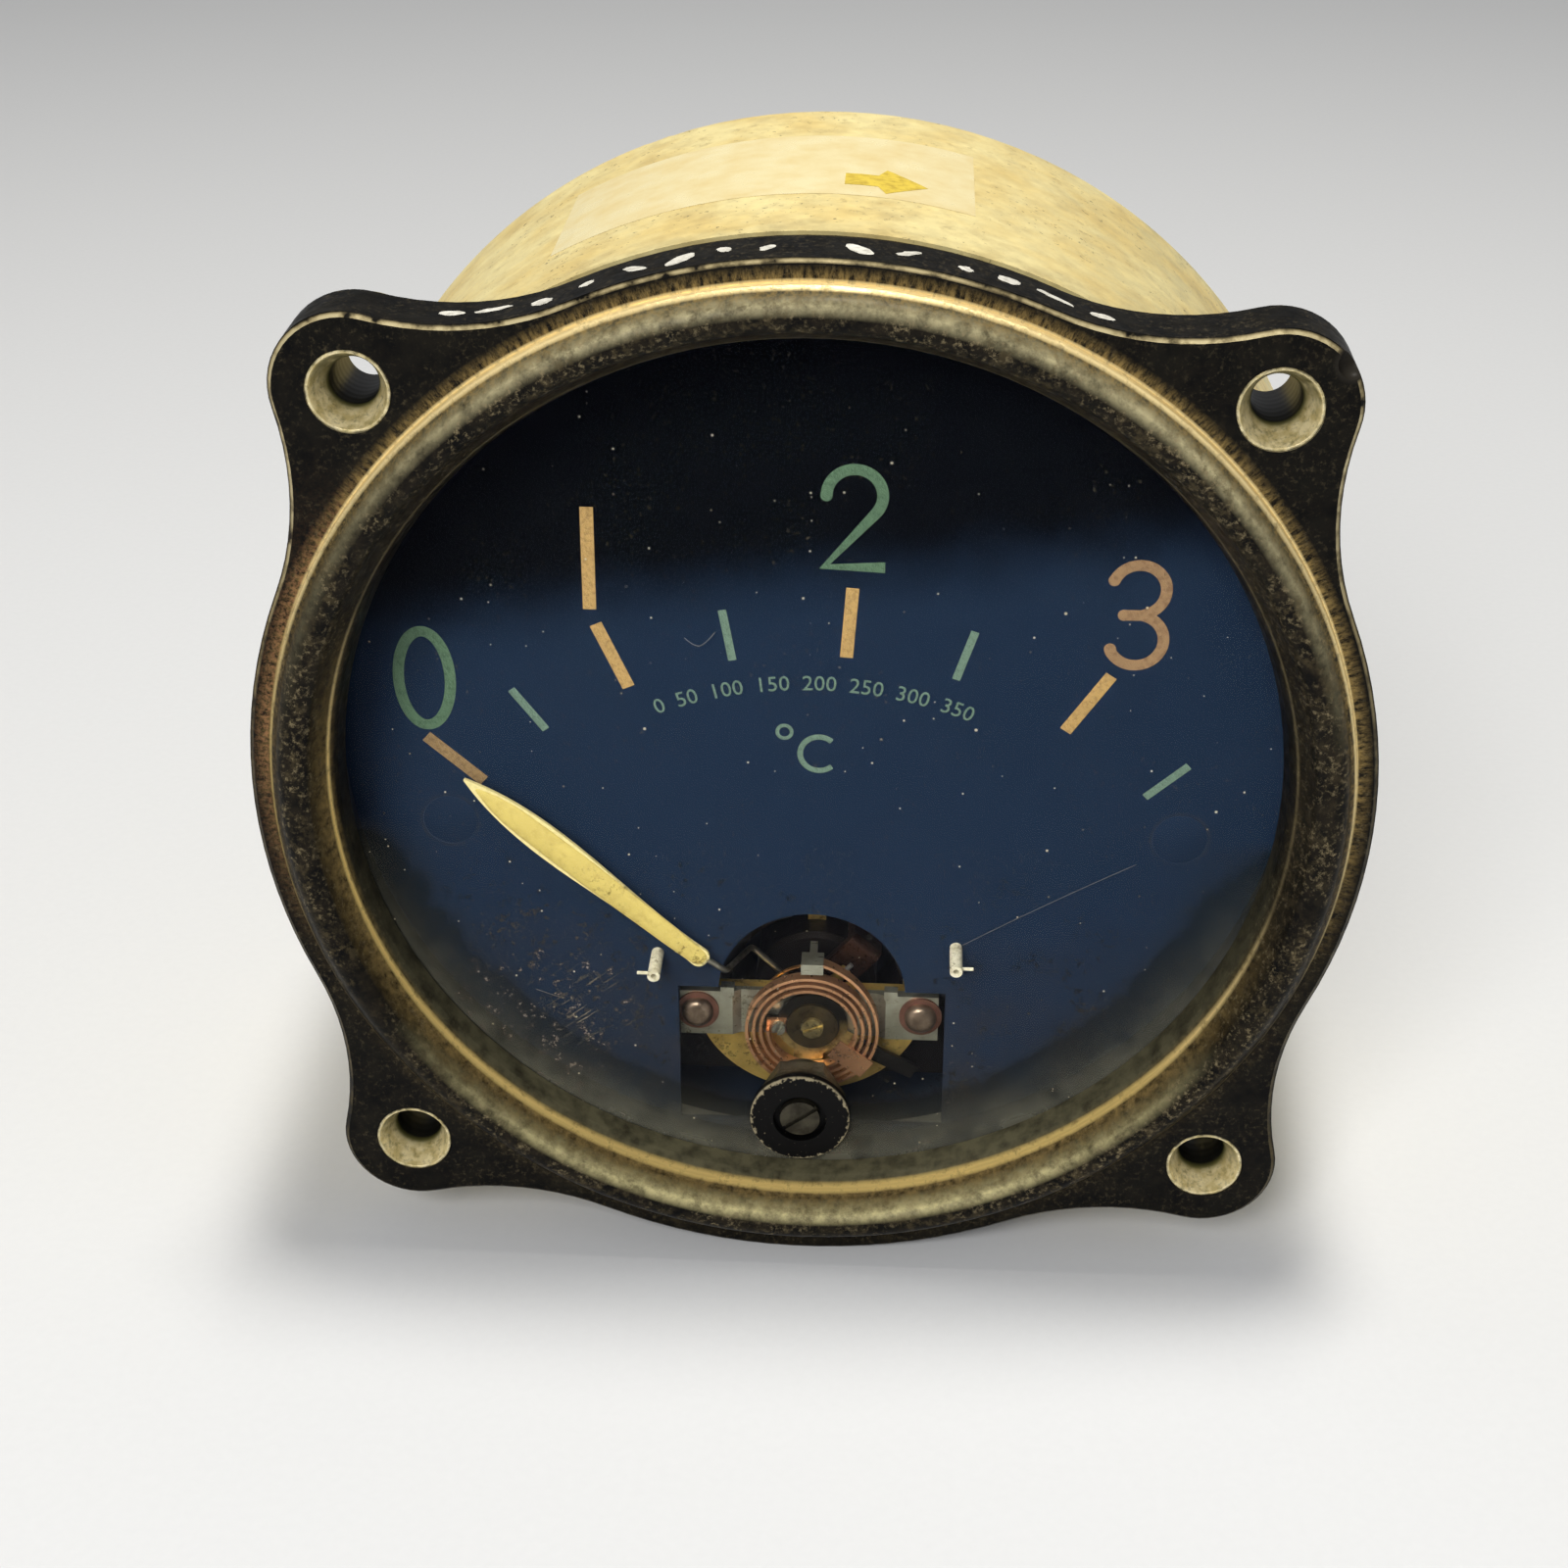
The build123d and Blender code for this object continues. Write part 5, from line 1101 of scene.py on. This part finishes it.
def insertPiece(look):
    deselect()
    hole = look["hole"] * mm
    middle = (hole, 0, hole)
    bpy.ops.mesh.primitive_cylinder_add(vertices=56, radius=look["outer"] * mm, depth=look["ear"] * mm,
                                        location=(hole, look["ear"] / 2 * mm, hole),
                                        rotation=(math.pi / 2, 0, 0))
    bpy.ops.object.transform_apply(location=True, rotation=True)
    piece = bpy.context.object
    mouth = look["outer"] - look["rim"]
    rear = look["ear"] + look["collarLength"]
    pickFaces(piece, lambda face: face.normal.y < -0.9)
    bpy.ops.mesh.inset(thickness=look["rim"] * mm)
    pull(look["step"], 0.985, middle)
    pull(look["sink"] - look["step"], look["bore"] / (mouth * 0.985), middle)
    pull(rear - look["sink"], 1, middle)
    bpy.ops.mesh.delete(type="FACE")
    pickFaces(piece, lambda face: face.normal.y > 0.9 and face.center.y > 0.9 * look["ear"] * mm)
    pull(0, look["collar"] / look["outer"], middle)
    pull(look["collarLength"], 1, middle)
    pull(0, look["bore"] / look["collar"], middle)
    bpy.ops.mesh.delete(type="FACE")
    bpy.ops.mesh.select_all(action="SELECT")
    bpy.ops.mesh.remove_doubles(threshold=0.000002)
    bpy.ops.mesh.normals_make_consistent(inside=False)
    slant = look["clear"] / math.sqrt(2) * mm
    bpy.ops.mesh.bisect(plane_co=(slant, 0, slant), plane_no=(1, 0, 1), use_fill=True, clear_inner=True)
    bpy.ops.object.mode_set(mode="OBJECT")
    edges = piece.modifiers.new("worn edges", "BEVEL")
    edges.width = look["round"] * mm
    edges.segments = 2
    edges.limit_method = "ANGLE"
    edges.angle_limit = math.radians(40)
    bpy.ops.object.modifier_apply(modifier=edges.name)
    bpy.ops.object.shade_smooth_by_angle(angle=math.radians(32))
    return settle("insert_0", slotFinishes["insert_steel"], "housing")


inserts = [insertPiece(insertShape)]
for k in (1, 2, 3):
    copyPiece(inserts[0])
    bpy.ops.transform.rotate(value=k * math.pi / 2, orient_axis="Y", center_override=(0, 0, 0))
    inserts.append(settle("insert_" + str(k), slotFinishes["insert_steel"], "housing"))
for piece in inserts:
    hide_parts("mounting_inserts")
print("inserts turned")

# dial screws: flush heads whose slots have filled with the dial's own enamel, on a cone and a plain shank
coveredHead = {"place": (28.4, -6.9), "radius": 2.1, "shank": 0.9, "cone": 0.6, "worn": 0.06}


def coveredScrew(look):
    deselect()
    low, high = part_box("dial_screws")
    x, z = look["place"]
    middle = (x * mm, 0, z * mm)
    bpy.ops.mesh.primitive_cylinder_add(vertices=48, radius=look["radius"] * mm, depth=look["worn"] * 2 * mm,
                                        location=(x * mm, low[1] + look["worn"] * mm, z * mm),
                                        rotation=(math.pi / 2, 0, 0))
    bpy.ops.object.transform_apply(location=True, rotation=True)
    piece = bpy.context.object
    pickFaces(piece, lambda face: face.normal.y > 0.9)
    pull(look["cone"] - look["worn"] * 2, look["shank"] / look["radius"], middle)
    pull((high[1] - low[1]) / mm - look["cone"], 1, middle)
    bpy.ops.object.mode_set(mode="OBJECT")
    pickFaces(piece, lambda face: face.normal.y < -0.9)
    bpy.ops.mesh.bevel(offset=look["worn"] * mm, segments=2, affect="EDGES")
    bpy.ops.object.mode_set(mode="OBJECT")
    bpy.ops.object.shade_smooth_by_angle(angle=math.radians(32))
    return settle("dial_screw_0", slotFinishes["dial_black"], "housing")


dialScrew = coveredScrew(coveredHead)
copyPiece(dialScrew)
bpy.ops.transform.translate(value=(-2 * coveredHead["place"][0] * mm, 0, 0))
otherScrew = settle("dial_screw_1", slotFinishes["dial_black"], "housing")
for piece in (dialScrew, otherScrew):
    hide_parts("dial_screws")
print("dial screws covered")

# luminous paint on the pointer: a long rounded bead, drawn out ring by ring along the blade and pressed flat
beadLook = {
    "tipReach": 36.0, "tipAngle": -48.2, "lean": -48.95, "front": 8.05, "flat": 0.27, "lump": 0.012,
    "rings": [(11.75, 0.4), (12.1, 0.64), (12.9, 0.79), (17.5, 0.94), (23.75, 1.06),
              (28.5, 1.03), (31.4, 0.92), (33.2, 0.62), (34.3, 0.28), (34.8, 0.08)],
}


def paintBead(look):
    deselect()
    tipX, tipZ = onScale(look["tipAngle"], look["tipReach"])
    lean = math.radians(look["lean"])
    along = Vector((math.sin(lean), 0, math.cos(lean)))
    tip = Vector((tipX, look["front"], tipZ))
    reach, half = look["rings"][0]
    start = (tip + along * (reach - look["tipReach"])) * mm
    bpy.ops.mesh.primitive_circle_add(vertices=24, radius=half * mm, fill_type="NGON",
                                      location=start, rotation=(0, lean, 0))
    bpy.ops.object.transform_apply(location=True, rotation=True)
    bpy.ops.object.mode_set(mode="EDIT")
    bpy.context.tool_settings.mesh_select_mode = (False, False, True)
    bpy.ops.mesh.select_all(action="SELECT")
    for nextReach, nextHalf in look["rings"][1:]:
        bpy.ops.mesh.extrude_region_move(TRANSFORM_OT_translate={"value": along * (nextReach - reach) * mm})
        middle = (tip + along * (nextReach - look["tipReach"])) * mm
        bpy.ops.transform.resize(value=[nextHalf / half] * 3, center_override=middle)
        reach, half = nextReach, nextHalf
    bpy.ops.mesh.select_all(action="SELECT")
    bpy.ops.mesh.normals_make_consistent(inside=False)
    bpy.ops.mesh.subdivide(number_cuts=1, smoothness=0.6)
    bpy.ops.transform.resize(value=(1, look["flat"], 1), center_override=(0, look["front"] * mm, 0))
    bpy.ops.transform.vertex_random(offset=look["lump"] * mm, uniform=0.3, seed=4)
    bpy.ops.object.mode_set(mode="OBJECT")
    bpy.ops.object.shade_smooth_by_angle(angle=math.radians(60))
    piece = settle("pointer_paint", slotFinishes["luminous_cream"], "movement")
    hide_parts("pointer_fill")
    return piece


paintBead(beadLook)
print("pointer paint laid on")

# plain pale floor, soft lamps and the camera at the photograph's angle
studioLook = {"floor": "dfe1e4", "grain": "c6c8cc", "world": 0.22, "sky": (0.97, 0.98, 1.0, 1), "wide": 6}
lampLooks = {
    "overhead": {"place": (0.03, 0.05, 0.62), "aim": (0, 0.02, 0), "size": 0.12, "power": 2.9,
                 "colour": (1.0, 0.96, 0.88)},
    "front": {"place": (-0.2, -0.62, 0.46), "aim": (0, 0, 0), "size": 0.3, "power": 3.9,
              "colour": (1.0, 0.98, 0.95)},
    "side": {"place": (0.6, -0.2, 0.35), "aim": (0, 0, 0), "size": 0.4, "power": 0.3,
             "colour": (0.95, 0.97, 1.0)},
}
deselect()
bpy.ops.mesh.primitive_plane_add(size=studioLook["wide"], location=(0, 0, cadBox[0][2]))
floor = bpy.context.object
floor.name = "floor"
floorFinish, floorTree, floorShader = newFinish("pale studio paper")
floorGrain = blotches(floorTree, millimetres(floorTree), 0.8, 0.2, 0.8, 4)
feed(floorTree, floorShader, {
    "Base Color": layered(floorTree, studioLook, "floor", grain=times(floorTree, floorGrain, 0.12)),
    "Roughness": 0.9, "Specular IOR Level": 0.1,
})
floor.data.materials.append(floorFinish)

world = bpy.data.worlds.new("soft studio")
bpy.context.scene.world = world
world.use_nodes = True
sky = world.node_tree.nodes["Background"]
feed(world.node_tree, sky, {"Color": studioLook["sky"], "Strength": studioLook["world"]})


def softLamp(name, look):
    bpy.ops.object.light_add(type="AREA", location=look["place"])
    lamp = bpy.context.object
    lamp.name = name
    lamp.data.size = look["size"]
    lamp.data.energy = look["power"]
    lamp.data.color = look["colour"]
    lamp.rotation_euler = (Vector(look["place"]) - Vector(look["aim"])).to_track_quat("Z", "Y").to_euler()


for name, look in lampLooks.items():
    softLamp(name, look)

cameraLook = {"turn": 3.172, "lift": 28.961, "away": 181.32, "aim": (-1.7485, 0.0, 1.9291), "lens": 56.993}
turn = math.radians(cameraLook["turn"])
lift = math.radians(cameraLook["lift"])
backward = Vector((math.sin(turn) * math.cos(lift), -math.cos(turn) * math.cos(lift), math.sin(lift)))
bpy.ops.object.camera_add(location=(Vector(cameraLook["aim"]) + backward * cameraLook["away"]) * mm)
camera = bpy.context.object
camera.rotation_euler = backward.to_track_quat("Z", "Y").to_euler()
camera.data.lens = cameraLook["lens"]
camera.data.sensor_width = 36
camera.data.clip_start = 0.005
camera.data.clip_end = 20
bpy.context.scene.camera = camera
bpy.context.scene.view_settings.view_transform = "Standard"
print("studio and camera set")
